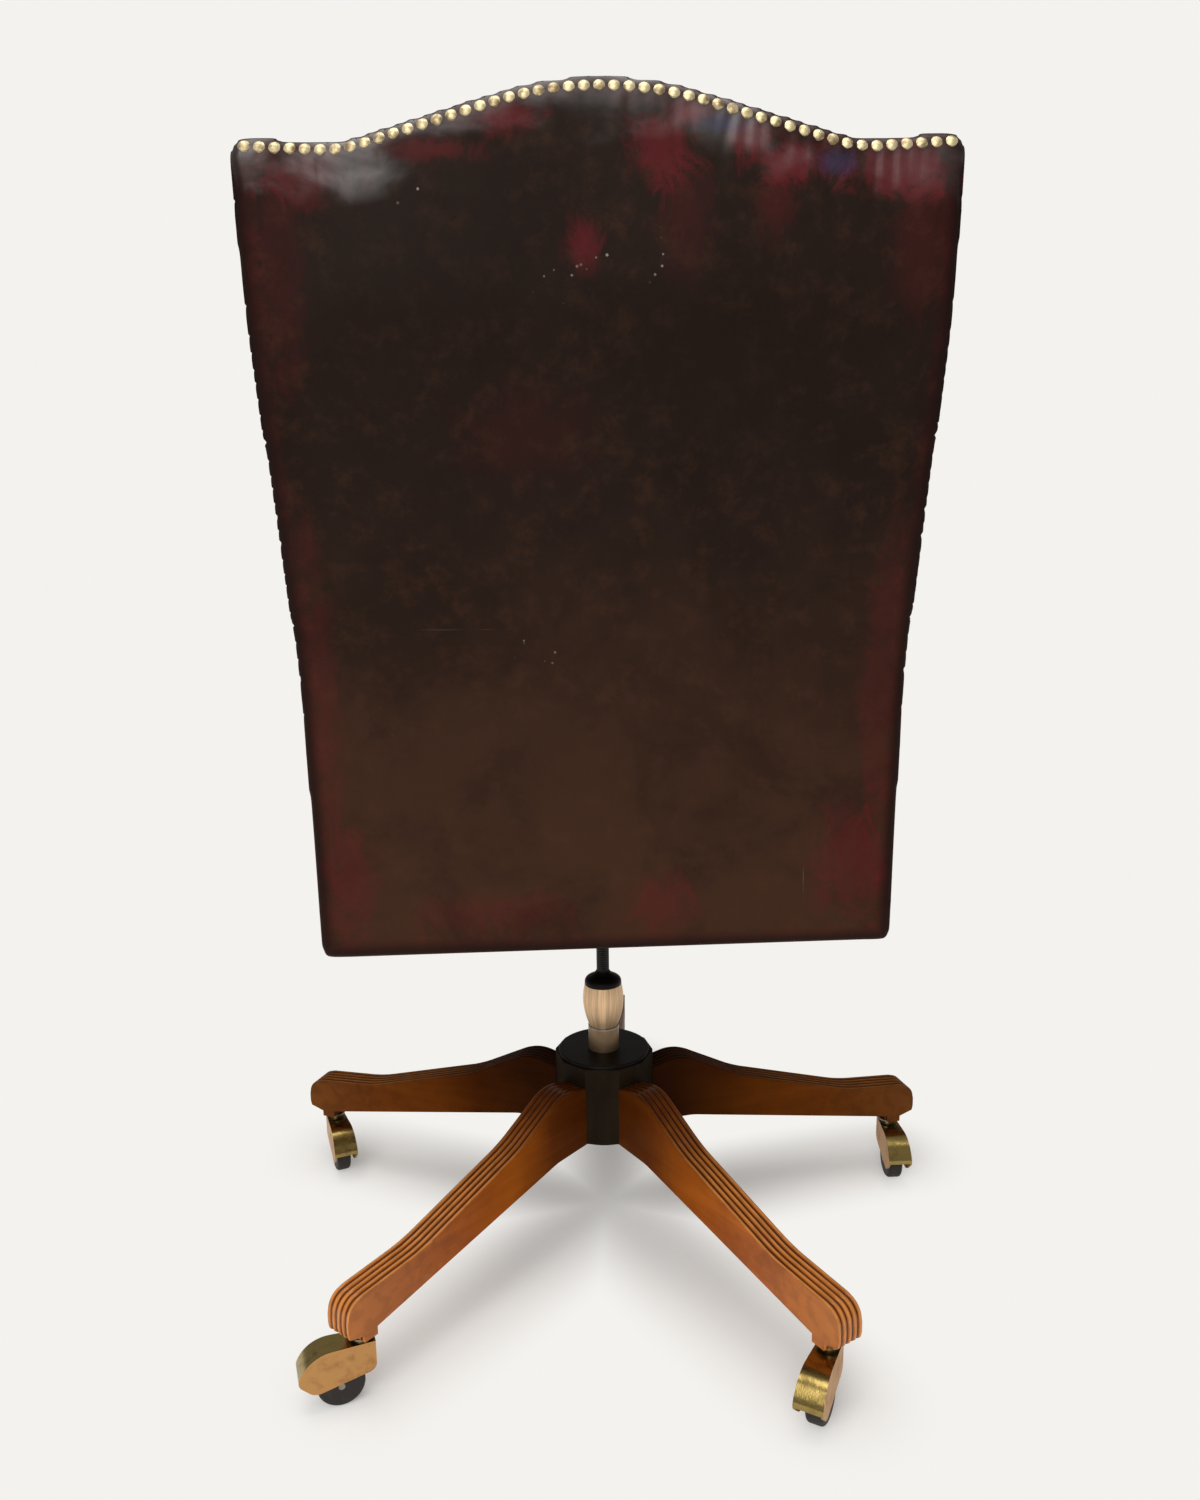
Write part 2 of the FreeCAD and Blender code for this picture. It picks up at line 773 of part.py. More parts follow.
def castor_sockets():
    sockets = []
    for i in range(ARM_COUNT):
        bore = S.stem_radius + S.running_gap
        lip = S.foot_bottom - S.socket_flange_thick
        socket = turned("castor_socket_%d" % (i + 1), [
            (bore, lip),
            (S.socket_flange_radius, lip),
            (S.socket_flange_radius, S.foot_bottom),
            (S.socket_radius, S.foot_bottom),
            (S.socket_radius, S.foot_bottom + S.socket_depth),
            (bore, S.foot_bottom + S.socket_depth),
        ])
        socket.Placement = castor_place(i, 0.0)
        sockets.append(socket)
    node("castor_sockets", grouped("castor_sockets", sockets))


# Castors


def castor_place(i, heading):
    """The place of castor i, with its own X axis turned to a heading."""
    angle = math.radians(BASE_TURN + i * ARM_STEP)
    out = float(S.castor_circle)
    return turned_by(heading, out * math.cos(angle), out * math.sin(angle))


def hood_shape():
    """A brass hood: a curved roof between two flat cheeks, narrower at the stem."""
    front, back = -S.hood_front_reach, S.hood_back_reach
    cheek = plain([
        (front, HOOD_TOP),
        (front, S.hood_front_height, S.hood_front_round),
        (S.hood_tail_out, S.hood_tail_height, S.hood_tail_round),
        (back, S.hood_lip_height, S.hood_lip_round),
        (S.hood_crown_out, HOOD_TOP, S.hood_crown_round),
    ])
    wall = S.hood_wall
    drop = (float(HOOD_TOP - S.hood_lip_height)) / float(S.hood_back_reach - S.hood_crown_out)
    low_back = S.hood_back_reach + (S.hood_lip_height + S.overrun) / drop
    roof = shifted(plain([
        (low_back, -S.overrun),
        (S.hood_crown_out, HOOD_TOP, S.hood_crown_round),
        (front, HOOD_TOP),
        (front, -S.overrun),
    ]), float(wall))
    hollow = [(across, max(up, -float(S.overrun)), radius) for across, up, radius in roof]
    height = vec(0, 0, HOOD_TOP + S.overrun * 2)
    shell = None
    for corners, inset in ((cheek, 0.0), (hollow, float(wall))):
        near = float(S.hood_front_half_width) - inset
        far = float(S.hood_back_half_width) - inset
        plan = plain([(front, -near), (back, -far), (back, far), (front, near)])
        wedge = prism(plan, from_above, vec(0, 0, -S.overrun), height)
        wide = S.hood_back_half_width
        side = prism(corners, side_on, vec(0, -wide, 0), vec(0, wide * 2, 0))
        solid = side.common(wedge)
        shell = solid if shell is None else shell.cut(solid)
    boss_bottom = HOOD_TOP - wall - S.hood_boss_height
    boss_radius = float(S.hood_front_half_width - wall / 2)
    boss = Part.makeCylinder(boss_radius, float(S.hood_boss_height + wall), vec(0, 0, boss_bottom))
    shell = shell.fuse(boss).removeSplitter()
    bore = Part.makeCylinder(float(S.stem_radius), float(HOOD_TOP), vec(0, 0, boss_bottom - S.overrun))
    return shell.cut([bore, axle_shape()])


def axle_half():
    """Half the axle's length: it bites a little into each cheek."""
    share = float((S.castor_trail + S.hood_front_reach)) / float(S.hood_front_reach + S.hood_back_reach)
    half = S.hood_front_half_width + (S.hood_back_half_width - S.hood_front_half_width) * share
    return half - S.hood_wall + S.axle_bite / 2


def axle_shape():
    half = float(axle_half())
    return Part.makeCylinder(
        float(S.axle_radius), half * 2, vec(S.castor_trail, -half, S.wheel_radius), vec(0, 1, 0))


def stem_shape():
    """The swivel pin: a shank through the hood, a collar on top of it, and the stem in its socket."""
    shank_bottom = float(HOOD_TOP - S.hood_wall - S.hood_boss_height)
    collar_top = float(S.foot_bottom - S.socket_flange_thick - S.soft_gap)
    top = float(S.foot_bottom + S.socket_depth)
    rod = Part.makeCylinder(float(S.stem_radius), top - shank_bottom, vec(0, 0, shank_bottom))
    collar = Part.makeCylinder(
        float(S.stem_collar_radius), collar_top - float(HOOD_TOP), vec(0, 0, HOOD_TOP))
    return rod.fuse(collar).removeSplitter()


def wheel_shape():
    """A solid wheel with a rounded tread and a raised hub, bored for its axle."""
    bore = S.axle_radius + S.running_gap
    half, hub_half = S.wheel_width / 2, S.wheel_hub_width / 2
    corners = plain([
        (bore, -hub_half),
        (S.wheel_hub_radius, -hub_half),
        (S.wheel_hub_radius, -half),
        (S.wheel_radius, -half, S.wheel_tread_round),
        (S.wheel_radius, half, S.wheel_tread_round),
        (S.wheel_hub_radius, half),
        (S.wheel_hub_radius, hub_half),
        (bore, hub_half),
    ])
    trail, middle = float(S.castor_trail), float(S.wheel_radius)
    half_plane = face_of(run_edges(corners, lambda out, along: vec(trail + out, along, middle)))
    return half_plane.revolve(vec(trail, 0, middle), vec(0, 1, 0), 360.0)


def castors():
    hood, stem, axle, wheel = hood_shape(), stem_shape(), axle_shape(), wheel_shape()
    for i, heading in enumerate(CASTOR_HEADINGS):
        place = castor_place(i, heading)
        number = i + 1
        node("castor_hood_%d" % number, shaped("castor_hood_%d" % number, hood.copy()), place)
        pins = shaped("castor_pins_%d" % number, Part.makeCompound([stem.copy(), axle.copy()]))
        node("castor_pins_%d" % number, pins, place)
        node("castor_wheel_%d" % number, shaped("castor_wheel_%d" % number, wheel.copy()), place)


# Height nut and spindle


def nut_bottom():
    return TUBE_TOP + S.washer_thick


def height_nut():
    """The barrel nut that carries the spindle, and the dark dome on top of it."""
    bottom = nut_bottom()
    bore = float(S.spindle_radius + S.running_gap)
    belly = bottom + S.nut_belly_height
    top = bottom + S.nut_height
    foot = [vec(bore, 0, bottom), vec(S.nut_foot_radius, 0, bottom)]
    lower = vec(S.nut_foot_radius + (S.nut_belly_radius - S.nut_foot_radius) * NUT_SWELL_SHARE, 0,
                bottom + S.nut_belly_height / 2)
    upper = vec(S.nut_neck_radius + (S.nut_belly_radius - S.nut_neck_radius) * NUT_SWELL_SHARE, 0,
                (belly + top) / 2)
    waist, neck = vec(S.nut_belly_radius, 0, belly), vec(S.nut_neck_radius, 0, top)
    edges = [
        Part.LineSegment(*foot).toShape(),
        Part.Arc(foot[1], lower, waist).toShape(),
        Part.Arc(waist, upper, neck).toShape(),
        Part.LineSegment(neck, vec(bore, 0, top)).toShape(),
        Part.LineSegment(vec(bore, 0, top), foot[0]).toShape(),
    ]
    barrel = face_of(edges).revolve(vec(0, 0, 0), vec(0, 0, 1), 360.0)
    node("height_nut", shaped("height_nut", barrel))
    dome_top = top + S.nut_cap_height
    crest = S.spindle_radius + S.nut_cap_height - S.nut_cap_shoulder * 2
    corners = plain([
        (bore, top), (S.nut_neck_radius, top),
        (S.nut_neck_radius, top + S.nut_cap_shoulder, S.nut_cap_shoulder),
        (crest, dome_top - S.nut_cap_shoulder * DOME_LIP_SHARE, S.nut_cap_round),
        (S.spindle_radius + S.nut_cap_shoulder * DOME_MOUTH_SHARE, dome_top), (bore, dome_top),
    ])
    dome = face_of(run_edges(corners, side_on)).revolve(vec(0, 0, 0), vec(0, 0, 1), 360.0)
    node("nut_cap", shaped("nut_cap", dome))


def spindle():
    flange_top = FLANGE_BOTTOM + S.spindle_flange_thick
    rod = turned("spindle_rod", [
        (0, SPINDLE_BOTTOM),
        (S.spindle_radius, SPINDLE_BOTTOM),
        (S.spindle_radius, FLANGE_BOTTOM),
        (S.spindle_flange_radius, FLANGE_BOTTOM),
        (S.spindle_flange_radius, flange_top),
        (S.spindle_radius, flange_top),
        (S.spindle_radius, SPINDLE_TOP),
        (0, SPINDLE_TOP),
    ])
    slot_bottom = SPINDLE_BOTTOM + S.stop_collar_height
    slot_top = FLANGE_BOTTOM - S.overrun
    keyway = block(
        "spindle_keyway", -S.keyway_width / 2, S.keyway_width / 2,
        S.spindle_radius - S.keyway_depth, S.spindle_radius + S.overrun, slot_bottom, slot_top,
    )
    node("spindle", trimmed("spindle", rod, keyway))
    node("stop_collar", turned("stop_collar", [
        (S.spindle_radius, SPINDLE_BOTTOM),
        (S.stop_collar_radius, SPINDLE_BOTTOM),
        (S.stop_collar_radius, SPINDLE_BOTTOM + S.stop_collar_height),
        (S.spindle_radius, SPINDLE_BOTTOM + S.stop_collar_height),
    ]))


# Tilt mechanism


def housing():
    """A cast channel over the spindle socket, open above and behind for the seat's ears."""
    half, inner = S.housing_half_width, S.housing_half_width - S.housing_wall
    bottom = FLANGE_BOTTOM + S.spindle_flange_thick
    floor_top = HOUSING_FLOOR + S.housing_floor_thick
    whole = block("housing_whole", -half, half, -S.housing_front, S.housing_rear, HOUSING_FLOOR, HOUSING_TOP)
    boss = cylinder("housing_boss", S.socket_boss_radius, floor_top - bottom, z=bottom)
    channel = block(
        "housing_channel", -inner, inner, -S.housing_front + S.housing_wall,
        S.housing_rear + S.overrun, floor_top, HOUSING_TOP + S.overrun,
    )
    socket = cylinder(
        "housing_socket", S.spindle_radius + S.swivel_bush_wall, floor_top - bottom + S.overrun * 2,
        z=bottom - S.overrun,
    )
    slot = block(
        "housing_bolt_slot", -S.bolt_slot_half, S.bolt_slot_half, -S.bolt_out - S.bolt_slot_swing - S.bolt_slot_half,
        -S.bolt_out + S.bolt_slot_half, HOUSING_FLOOR - S.overrun, floor_top + S.overrun,
    )
    pin_hole = cross_rod("housing_pin_hole", S.tilt_pin_radius, half + S.overrun, S.tilt_pin_offset, PIN_HEIGHT)
    body = joined("housing_body", whole, boss)
    tools = joined("housing_openings", channel, socket, slot, pin_hole)
    node("tilt_housing", trimmed("tilt_housing", body, tools))
    bore = S.spindle_radius + S.running_gap
    node("swivel_bush", turned("swivel_bush", [
        (bore, bottom),
        (S.spindle_radius + S.swivel_bush_wall, bottom),
        (S.spindle_radius + S.swivel_bush_wall, floor_top),
        (bore, floor_top),
    ]))
    reach = half + S.ear_gap + S.ear_thick
    node("tilt_pin", cross_rod("tilt_pin", S.tilt_pin_radius, reach, S.tilt_pin_offset, PIN_HEIGHT))


def coil_edges(radius, bottom, top, turns):
    """Quarter-turn arcs that climb as a spring does, with its ends as high as its seats."""
    edges = []
    steps = turns * QUARTERS
    rise = (top - bottom) / steps

    def spot(step):
        angle = 2 * math.pi * step / QUARTERS
        return vec(radius * math.cos(angle), radius * math.sin(angle), bottom + rise * step)

    for step in range(steps):
        edges.append(Part.Arc(spot(step), spot(step + 0.5), spot(step + 1)).toShape())
    return edges


def tension_set():
    """The bolt that hangs from the seat plate, and the spring, cup and knob on it."""
    out = -S.bolt_out
    wire, radius = S.spring_wire, S.spring_radius
    lug = HOUSING_FLOOR
    low = float(SPRING_BOTTOM + wire + S.spring_seat_gap)
    high = float(lug - wire - S.spring_seat_gap)
    edges = coil_edges(float(radius), low, high, SPRING_TURNS)
    way = Part.Wire(edges)
    start = edges[0].valueAt(edges[0].FirstParameter)
    heading = edges[0].tangentAt(edges[0].FirstParameter)
    ring = Part.Wire(Part.Circle(start, heading, float(wire)).toShape())
    coil = way.makePipeShell([ring], True, False)
    rise = (high - low) / SPRING_TURNS
    print("tilt spring: least gap between turns %.2f mm" % (rise - 2 * float(wire)))
    print("tilt spring: volume over section times length %.4f" % (
        coil.Volume / (math.pi * float(wire) ** 2 * way.Length)))
    coil.translate(vec(0, out, 0))
    node("tilt_spring", shaped("tilt_spring", coil))
    cup_bottom = SPRING_BOTTOM - S.cup_thick
    knob_bottom = cup_bottom - S.knob_height
    plate_bottom = PLATE_BOTTOM
    node("tension_bolt", cylinder(
        "tension_bolt", S.bolt_radius, plate_bottom - knob_bottom - S.overrun, y=out, z=knob_bottom + S.overrun))
    bore = S.bolt_radius + S.running_gap
    cup = turned("spring_cup", [
        (bore, cup_bottom),
        (S.cup_radius, cup_bottom),
        (S.cup_radius, SPRING_BOTTOM + S.cup_thick / 2),
        (S.spring_radius + S.spring_wire * 2, SPRING_BOTTOM + S.cup_thick / 2),
        (S.spring_radius + S.spring_wire * 2, SPRING_BOTTOM),
        (bore, SPRING_BOTTOM),
    ])
    node("spring_cup", cup, turned_by(0.0, y=out))
    knob = turned("knob_blank", [
        (bore, knob_bottom),
        (S.knob_radius, knob_bottom),
        (S.knob_radius, cup_bottom),
        (bore, cup_bottom),
    ])
    rounded_edges(knob, knob.Tip, S.knob_round, rim_test(knob_bottom, S.knob_radius))
    grips = []
    for i in range(KNOB_GRIP_COUNT):
        grip = cylinder("knob_grip_%d" % (i + 1), S.knob_radius * KNOB_GRIP_SHARE, S.knob_height + S.overrun * 2)
        angle = 2 * math.pi * i / KNOB_GRIP_COUNT
        ring_radius = S.knob_radius * (1.0 + KNOB_GRIP_SHARE / 2)
        bind(grip, Placement__Base__x=ring_radius * math.cos(angle), Placement__Base__y=ring_radius * math.sin(angle))
        bind(grip, Placement__Base__z=knob_bottom - S.overrun)
        grips.append(grip)
    fluted = trimmed("tension_knob", knob, joined("knob_grips", *grips))
    node("tension_knob", fluted, turned_by(0.0, y=out))


# Seat


def seat_plate():
    """The steel plate under the seat, with an ear each side of the housing."""
    bottom = PLATE_BOTTOM
    plate = block(
        "plate_sheet", -S.plate_half_width, S.plate_half_width, -S.plate_front, S.plate_rear, bottom, S.rail_bottom)
    parts = [plate]
    inner = S.housing_half_width + S.ear_gap
    for side, start in ((1, inner), (-1, -(inner + S.ear_thick))):
        name = "ear_left" if side > 0 else "ear_right"
        disc = doc.addObject("Part::Cylinder", name + "_eye")
        bind(disc, Radius=S.ear_radius, Height=S.ear_thick)
        disc.Placement.Rotation = FreeCAD.Rotation(vec(0, 1, 0), 90.0)
        bind(disc, Placement__Base__x=start, Placement__Base__y=S.tilt_pin_offset)
        bind(disc, Placement__Base__z=PIN_HEIGHT)
        web = block(
            name + "_web", start, start + S.ear_thick, S.tilt_pin_offset - S.ear_radius,
            S.tilt_pin_offset + S.ear_radius, PIN_HEIGHT, bottom)
        parts += [disc, web]
    holes = [cross_rod("plate_pin_hole", S.tilt_pin_radius + S.running_gap, inner + S.ear_thick + S.overrun,
                       S.tilt_pin_offset, PIN_HEIGHT)]
    screws = []
    for x_side in (-1, 1):
        for y in (-S.bearer_front, S.bearer_rear):
            x = S.plate_half_width * PLATE_SCREW_SHARE * x_side
            number = len(screws) + 1
            length = S.plate_thick + S.wood_screw_grip
            holes.append(cylinder("plate_hole_%d" % number, S.wood_screw_radius, length, x, y, bottom))
            screws.append(cylinder("plate_screw_%d" % number, S.wood_screw_radius, length, x, y, bottom))
    whole = joined("plate_whole", *parts)
    node("seat_plate", trimmed("seat_plate", whole, joined("plate_holes", *holes)))
    node("plate_screws", grouped("plate_screws", screws))


def seat_half_width(y):
    """Half the seat frame's outer width at a depth, wider towards the front."""
    return S.seat_back_half_width + (seat_rear() - y) * math.tan(math.radians(SEAT_FLARE))


def bearers():
    bars = []
    for number, y in enumerate((-S.bearer_front, S.bearer_rear), 1):
        half = S.bearer_width / 2
        reach_front = seat_half_width(y - half) - S.rail_thick
        reach_back = seat_half_width(y + half) - S.rail_thick
        bar = slab("bearer_%d" % number, [
            (-reach_front, y - half), (reach_front, y - half), (reach_back, y + half), (-reach_back, y + half),
        ], S.rail_bottom, S.bearer_height)
        bars.append(bar)
    whole = grouped("bearers_whole", bars)
    screws = []
    for x_side in (-1, 1):
        for y in (-S.bearer_front, S.bearer_rear):
            x = S.plate_half_width * PLATE_SCREW_SHARE * x_side
            number = len(screws) + 1
            screws.append(cylinder(
                "bearer_hole_%d" % number, S.wood_screw_radius, S.wood_screw_grip, x, y, S.rail_bottom))
    node("cross_bearers", trimmed("cross_bearers", whole, joined("bearer_holes", *screws)))


def seat_rails():
    height = S.rail_height
    back = seat_rear()
    front_inner = -S.seat_front + S.rail_thick
    for side, label in ((1, "seat_rail_left"), (-1, "seat_rail_right")):
        wide_front = seat_half_width(front_inner)
        wide_back = seat_half_width(back)
        node(label, slab(label, [
            ((wide_front - S.rail_thick) * side, front_inner),
            (wide_front * side, front_inner),
            (wide_back * side, back),
            ((wide_back - S.rail_thick) * side, back),
        ], S.rail_bottom, height))
    wide = seat_half_width(-S.seat_front)
    inner_wide = seat_half_width(front_inner)
    node("seat_rail_front", slab("seat_rail_front", [
        (-wide, -S.seat_front), (wide, -S.seat_front), (inner_wide, front_inner), (-inner_wide, front_inner),
    ], S.rail_bottom, height))
    reach = S.back_bottom_half_width - S.border_thick - S.stile_width
    rear = S.back_face - S.outside_thick
    node("seat_rail_back", slab("seat_rail_back", [
        (-reach, rear - S.rail_thick), (reach, rear - S.rail_thick), (reach, rear), (-reach, rear),
    ], S.rail_bottom, height))
    straps = []
    for share in WEBBING_PLACE_SHARES:
        middle = seat_half_width(S.seat_front * 0.0) * share
        half = S.webbing_width / 2
        number = len(straps) + 1
        straps.append(block(
            "strap_%d" % number, middle - half, middle + half, front_inner - S.rail_thick / 2,
            rear - S.rail_thick / 2, RAIL_TOP, RAIL_TOP + S.webbing_thick))
    node("seat_webbing", grouped("seat_webbing", straps))


def seat_rear():
    """The depth of the frame's front face at the seat."""
    return S.back_face - S.outside_thick - S.frame_depth


def seat_plan(inset, round_to):
    """The seat's outline from above, drawn in by an inset at the front and sides."""
    front = -float(S.seat_front) + inset
    front_wide = float(seat_half_width(-S.seat_front)) - inset
    rear = float(seat_rear())
    rear_wide = float(seat_half_width(seat_rear())) - inset
    return [
        (-front_wide, front, round_to), (front_wide, front, round_to),
        (rear_wide, rear, 0.0), (-rear_wide, rear, 0.0),
    ]


def seat_border():
    """The leather drawn over the outside of the front and side rails."""
    rise = vec(0, 0, S.rail_height)
    outer = prism(seat_plan(-float(S.seat_leather), float(S.seat_corner_round)),
                  from_above, vec(0, 0, S.rail_bottom), rise)
    inner = prism(seat_plan(0.0, 0.0), from_above, vec(0, 0, S.rail_bottom), rise)
    wide = float(seat_half_width(-S.seat_front))
    room = Part.makeBox(wide * 2, float(seat_rear() - S.soft_gap + S.seat_front * 2), rise.z,
                        vec(-wide, -S.seat_front * 2, S.rail_bottom))
    node("seat_border", shaped("seat_border", outer.common(room).cut(inner)))


def cushion_section(y, draw, rise):
    """One upright section of the seat cushion: rounded sides under a crowned top."""
    base = float(RAIL_TOP + S.webbing_thick)
    wide = float(seat_half_width(y) - S.cushion_inset) - draw
    side = base + float(S.cushion_height) * rise
    top = side + float(S.cushion_crown) * rise
    inner = wide - float(S.cushion_draw)
    bulge = vec(wide + float(S.cushion_draw) * CUSHION_OUT_SHARE, y, base + (side - base) * CUSHION_BULGE_SHARE)
    ring = [vec(wide, y, base), bulge, vec(inner, y, side)]
    other = [FreeCAD.Vector(-spot.x, spot.y, spot.z) for spot in ring]
    return Part.Wire([
        Part.LineSegment(other[0], ring[0]).toShape(),
        Part.Arc(*ring).toShape(),
        Part.Arc(ring[2], vec(0, y, top), other[2]).toShape(),
        Part.Arc(*reversed(other)).toShape(),
    ])


def seat_cushion():
    """A crowned seat cushion on the webbing and the rails, rounded at its front and rear."""
    front = float(S.cushion_front_inset - S.seat_front)
    rear = float(seat_rear() - S.inside_thick - S.inside_crown * CUSHION_TUCK_SHARE - S.soft_gap)
    rings = []
    for way_share, draw_share, rise in CUSHION_SECTION_SHARES:
        y = front + (rear - front) * way_share
        rings.append(cushion_section(y, float(S.cushion_draw) * draw_share, rise))
    node("seat_cushion", shaped("seat_cushion", Part.makeLoft(rings, True, False)))


# Back


def back_line(inset):
    """The back's rear face seen from the side, or a line inside it, from bottom to top."""
    corners = plain([
        (S.back_face, BACK_BOTTOM - S.overrun),
        (S.back_face, KNEE_HEIGHT, S.back_knee_round),
        (S.back_face + S.back_rake, SHOULDER_HEIGHT, S.back_shoulder_round),
        (S.back_face + S.back_rake + S.back_top_lean, BACK_TOP + S.overrun),
    ])
    return shifted(corners, inset, closed=False)


def back_outline(inset, bottom=None):
    """The back's outline seen from behind: straight sides, square ears and a raised crown."""
    low = BACK_BOTTOM if bottom is None else bottom
    shoulder = BACK_TOP - S.crown_drop
    apex = float(shoulder) + float(S.crown_shoulder_out) * math.tan(crown_slope())
    ear = shoulder + S.ear_rise
    flare = float(S.back_ear_half_width - S.back_bottom_half_width) / float(ear - BACK_BOTTOM)
    half = plain([
        (S.back_bottom_half_width + flare * float(low - BACK_BOTTOM), low, S.back_corner_round),
        (S.back_ear_half_width, ear, S.ear_round),
        (S.crown_shoulder_out, shoulder, S.crown_shoulder_round),
    ])
    top = [(0.0, apex, float(S.crown_round))]
    mirrored = [(-across, up, radius) for across, up, radius in reversed(half)]
    corners = half + top + mirrored
    return shifted(corners, inset) if inset else corners


def crown_slope():
    """The slope of the crown's flanks, so that its arc just reaches the back's top."""
    reach, rise, radius = float(S.crown_shoulder_out), float(S.crown_drop), float(S.crown_round)
    low, high = 0.0, math.pi / 4
    for _ in range(HALVINGS):
        middle = (low + high) / 2
        height = reach * math.tan(middle) - radius * (1 / math.cos(middle) - 1)
        low, high = (middle, high) if height < rise else (low, middle)
    return low


def back_solid(outer, near, far, bottom=None):
    """The part of the back between two depths, inside an outline drawn in by a distance."""
    near_line, far_line = back_line(near), back_line(far)
    edges = run_edges(near_line, facing, closed=False)
    edges += run_edges(far_line, facing, closed=False)
    for a, b in ((near_line[0], far_line[0]), (near_line[-1], far_line[-1])):
        edges.append(Part.LineSegment(facing(a[0], a[1]), facing(b[0], b[1])).toShape())
    wide = S.back_ear_half_width + S.overrun
    strip = face_of(edges)
    strip.translate(vec(-wide, 0, 0))
    strip = strip.extrude(vec(wide * 2, 0, 0))
    depth = S.back_face + S.back_rake + S.back_top_lean + S.overrun
    panel = prism(back_outline(outer, bottom), side_on, vec(0, 0, 0), vec(0, depth, 0))
    return strip.common(panel)


def back_frame():
    near, far = float(S.outside_thick), float(S.outside_thick + S.frame_depth)
    border = float(S.border_thick)
    whole = back_solid(border, near, far, S.rail_bottom - S.border_thick)
    depth = float(S.back_face + S.back_rake + S.back_top_lean + S.overrun)
    bottom_wide, top_wide = S.back_bottom_half_width, S.back_ear_half_width
    inner = float(S.border_thick + S.stile_width)
    crest_low = BACK_TOP - S.crown_drop - S.crest_width
    high = BACK_TOP + S.overrun
    gap = prism(plain([
        (bottom_wide - inner, BACK_BOTTOM - S.overrun), (top_wide - inner, high),
        (-(top_wide - inner), high), (-(bottom_wide - inner), BACK_BOTTOM - S.overrun),
    ]), side_on, vec(0, 0, 0), vec(0, depth, 0))
    for solid in whole.cut(gap).Solids:
        label = "stile_left" if solid.BoundBox.XMax > 0 else "stile_right"
        node(label, shaped(label, solid))
    upper = Part.makeBox(
        float(top_wide * 2), depth, float(high - crest_low), vec(-top_wide, 0, crest_low))
    crest = whole.common(gap).common(upper)
    node("crest_rail", shaped("crest_rail", crest.Solids[0]))
    hem = Part.makeBox(
        float((S.back_bottom_half_width - S.border_thick) * 2), depth, float(S.border_thick + S.overrun),
        vec(-(S.back_bottom_half_width - S.border_thick), 0, BACK_BOTTOM - S.overrun))
    wrap = back_solid(0.0, near, far).cut([whole, hem])
    node("back_border", shaped("back_border", largest(wrap)))


def largest(shape):
    return max(shape.Solids, key=lambda solid: solid.Volume)


def outside_back():
    """The leather panel across the back, drawn over the frame's rear edges and rolled at its rim."""
    panel = back_solid(0.0, 0.0, float(S.outside_thick))
    rear = []
    for face in panel.Faces:
        if all(abs(spot.Y - depth_at(spot.Z, 0.0)) < SAME * 100 for spot in face.Vertexes):
            rear.append(face)
    edges = [edge for face in rear for edge in face.Edges]
    rim = [edge for edge in edges if sum(edge.isSame(other) for other in edges) == 1]
    node("outside_back", shaped("outside_back", panel.makeFillet(float(S.back_edge_roll), rim)))


def depth_at(height, inset):
    """The depth of a line inside the back at a height."""
    edges = run_edges(back_line(inset), facing, closed=False)
    level = Part.LineSegment(facing(0.0, height), facing(float(S.back_face) * 2, height)).toShape()
    for edge in edges:
        gap, spots, _ = edge.distToShape(level)
        if gap < SAME:
            return spots[0][0].y
    raise ValueError("the back has no depth at height %.1f" % height)


def inside_back():
    """The padded leather in front of the frame: crowned, with drawn-in sides."""
    seat = float(S.outside_thick + S.frame_depth)
    low, high = float(INSIDE_BOTTOM), float(BACK_TOP)
    rings = []
    for share, crown_share in zip(BACK_LAYER_SHARES, BACK_CROWN_SHARES):
        height = low + (high - low) * share
        rear = depth_at(height, seat)
        thick = float(S.inside_thick)
        crown = float(S.inside_crown) * crown_share
        span = float(BACK_TOP - BACK_BOTTOM)
        widening = float(S.back_ear_half_width - S.back_bottom_half_width) * (height - float(BACK_BOTTOM)) / span
        wide = float(S.back_bottom_half_width) + widening
        draw = float(S.inside_side_draw)
        corner = [vec(wide, rear, height), vec(wide - draw, rear - thick, height)]
        bulge = vec(wide - draw * DRAW_BULGE_SHARE, rear - thick * INSIDE_BULGE_SHARE, height)
        mirror = lambda p: FreeCAD.Vector(-p.x, p.y, p.z)
        rings.append(Part.Wire([
            Part.LineSegment(mirror(corner[0]), corner[0]).toShape(),
            Part.Arc(corner[0], bulge, corner[1]).toShape(),
            Part.Arc(corner[1], vec(0, rear - thick - crown, height), mirror(corner[1])).toShape(),
            Part.Arc(mirror(corner[1]), mirror(bulge), mirror(corner[0])).toShape(),
        ]))
    pad = Part.makeLoft(rings, True, False)
    depth = float(S.back_face + S.back_rake + S.back_top_lean)
    pad = pad.common(prism(back_outline(0.0), side_on, vec(0, 0, 0), vec(0, depth, 0)))
    frame = back_solid(-float(S.overrun), -float(S.overrun), seat)
    node("inside_back", shaped("inside_back", largest(pad.cut(frame))))


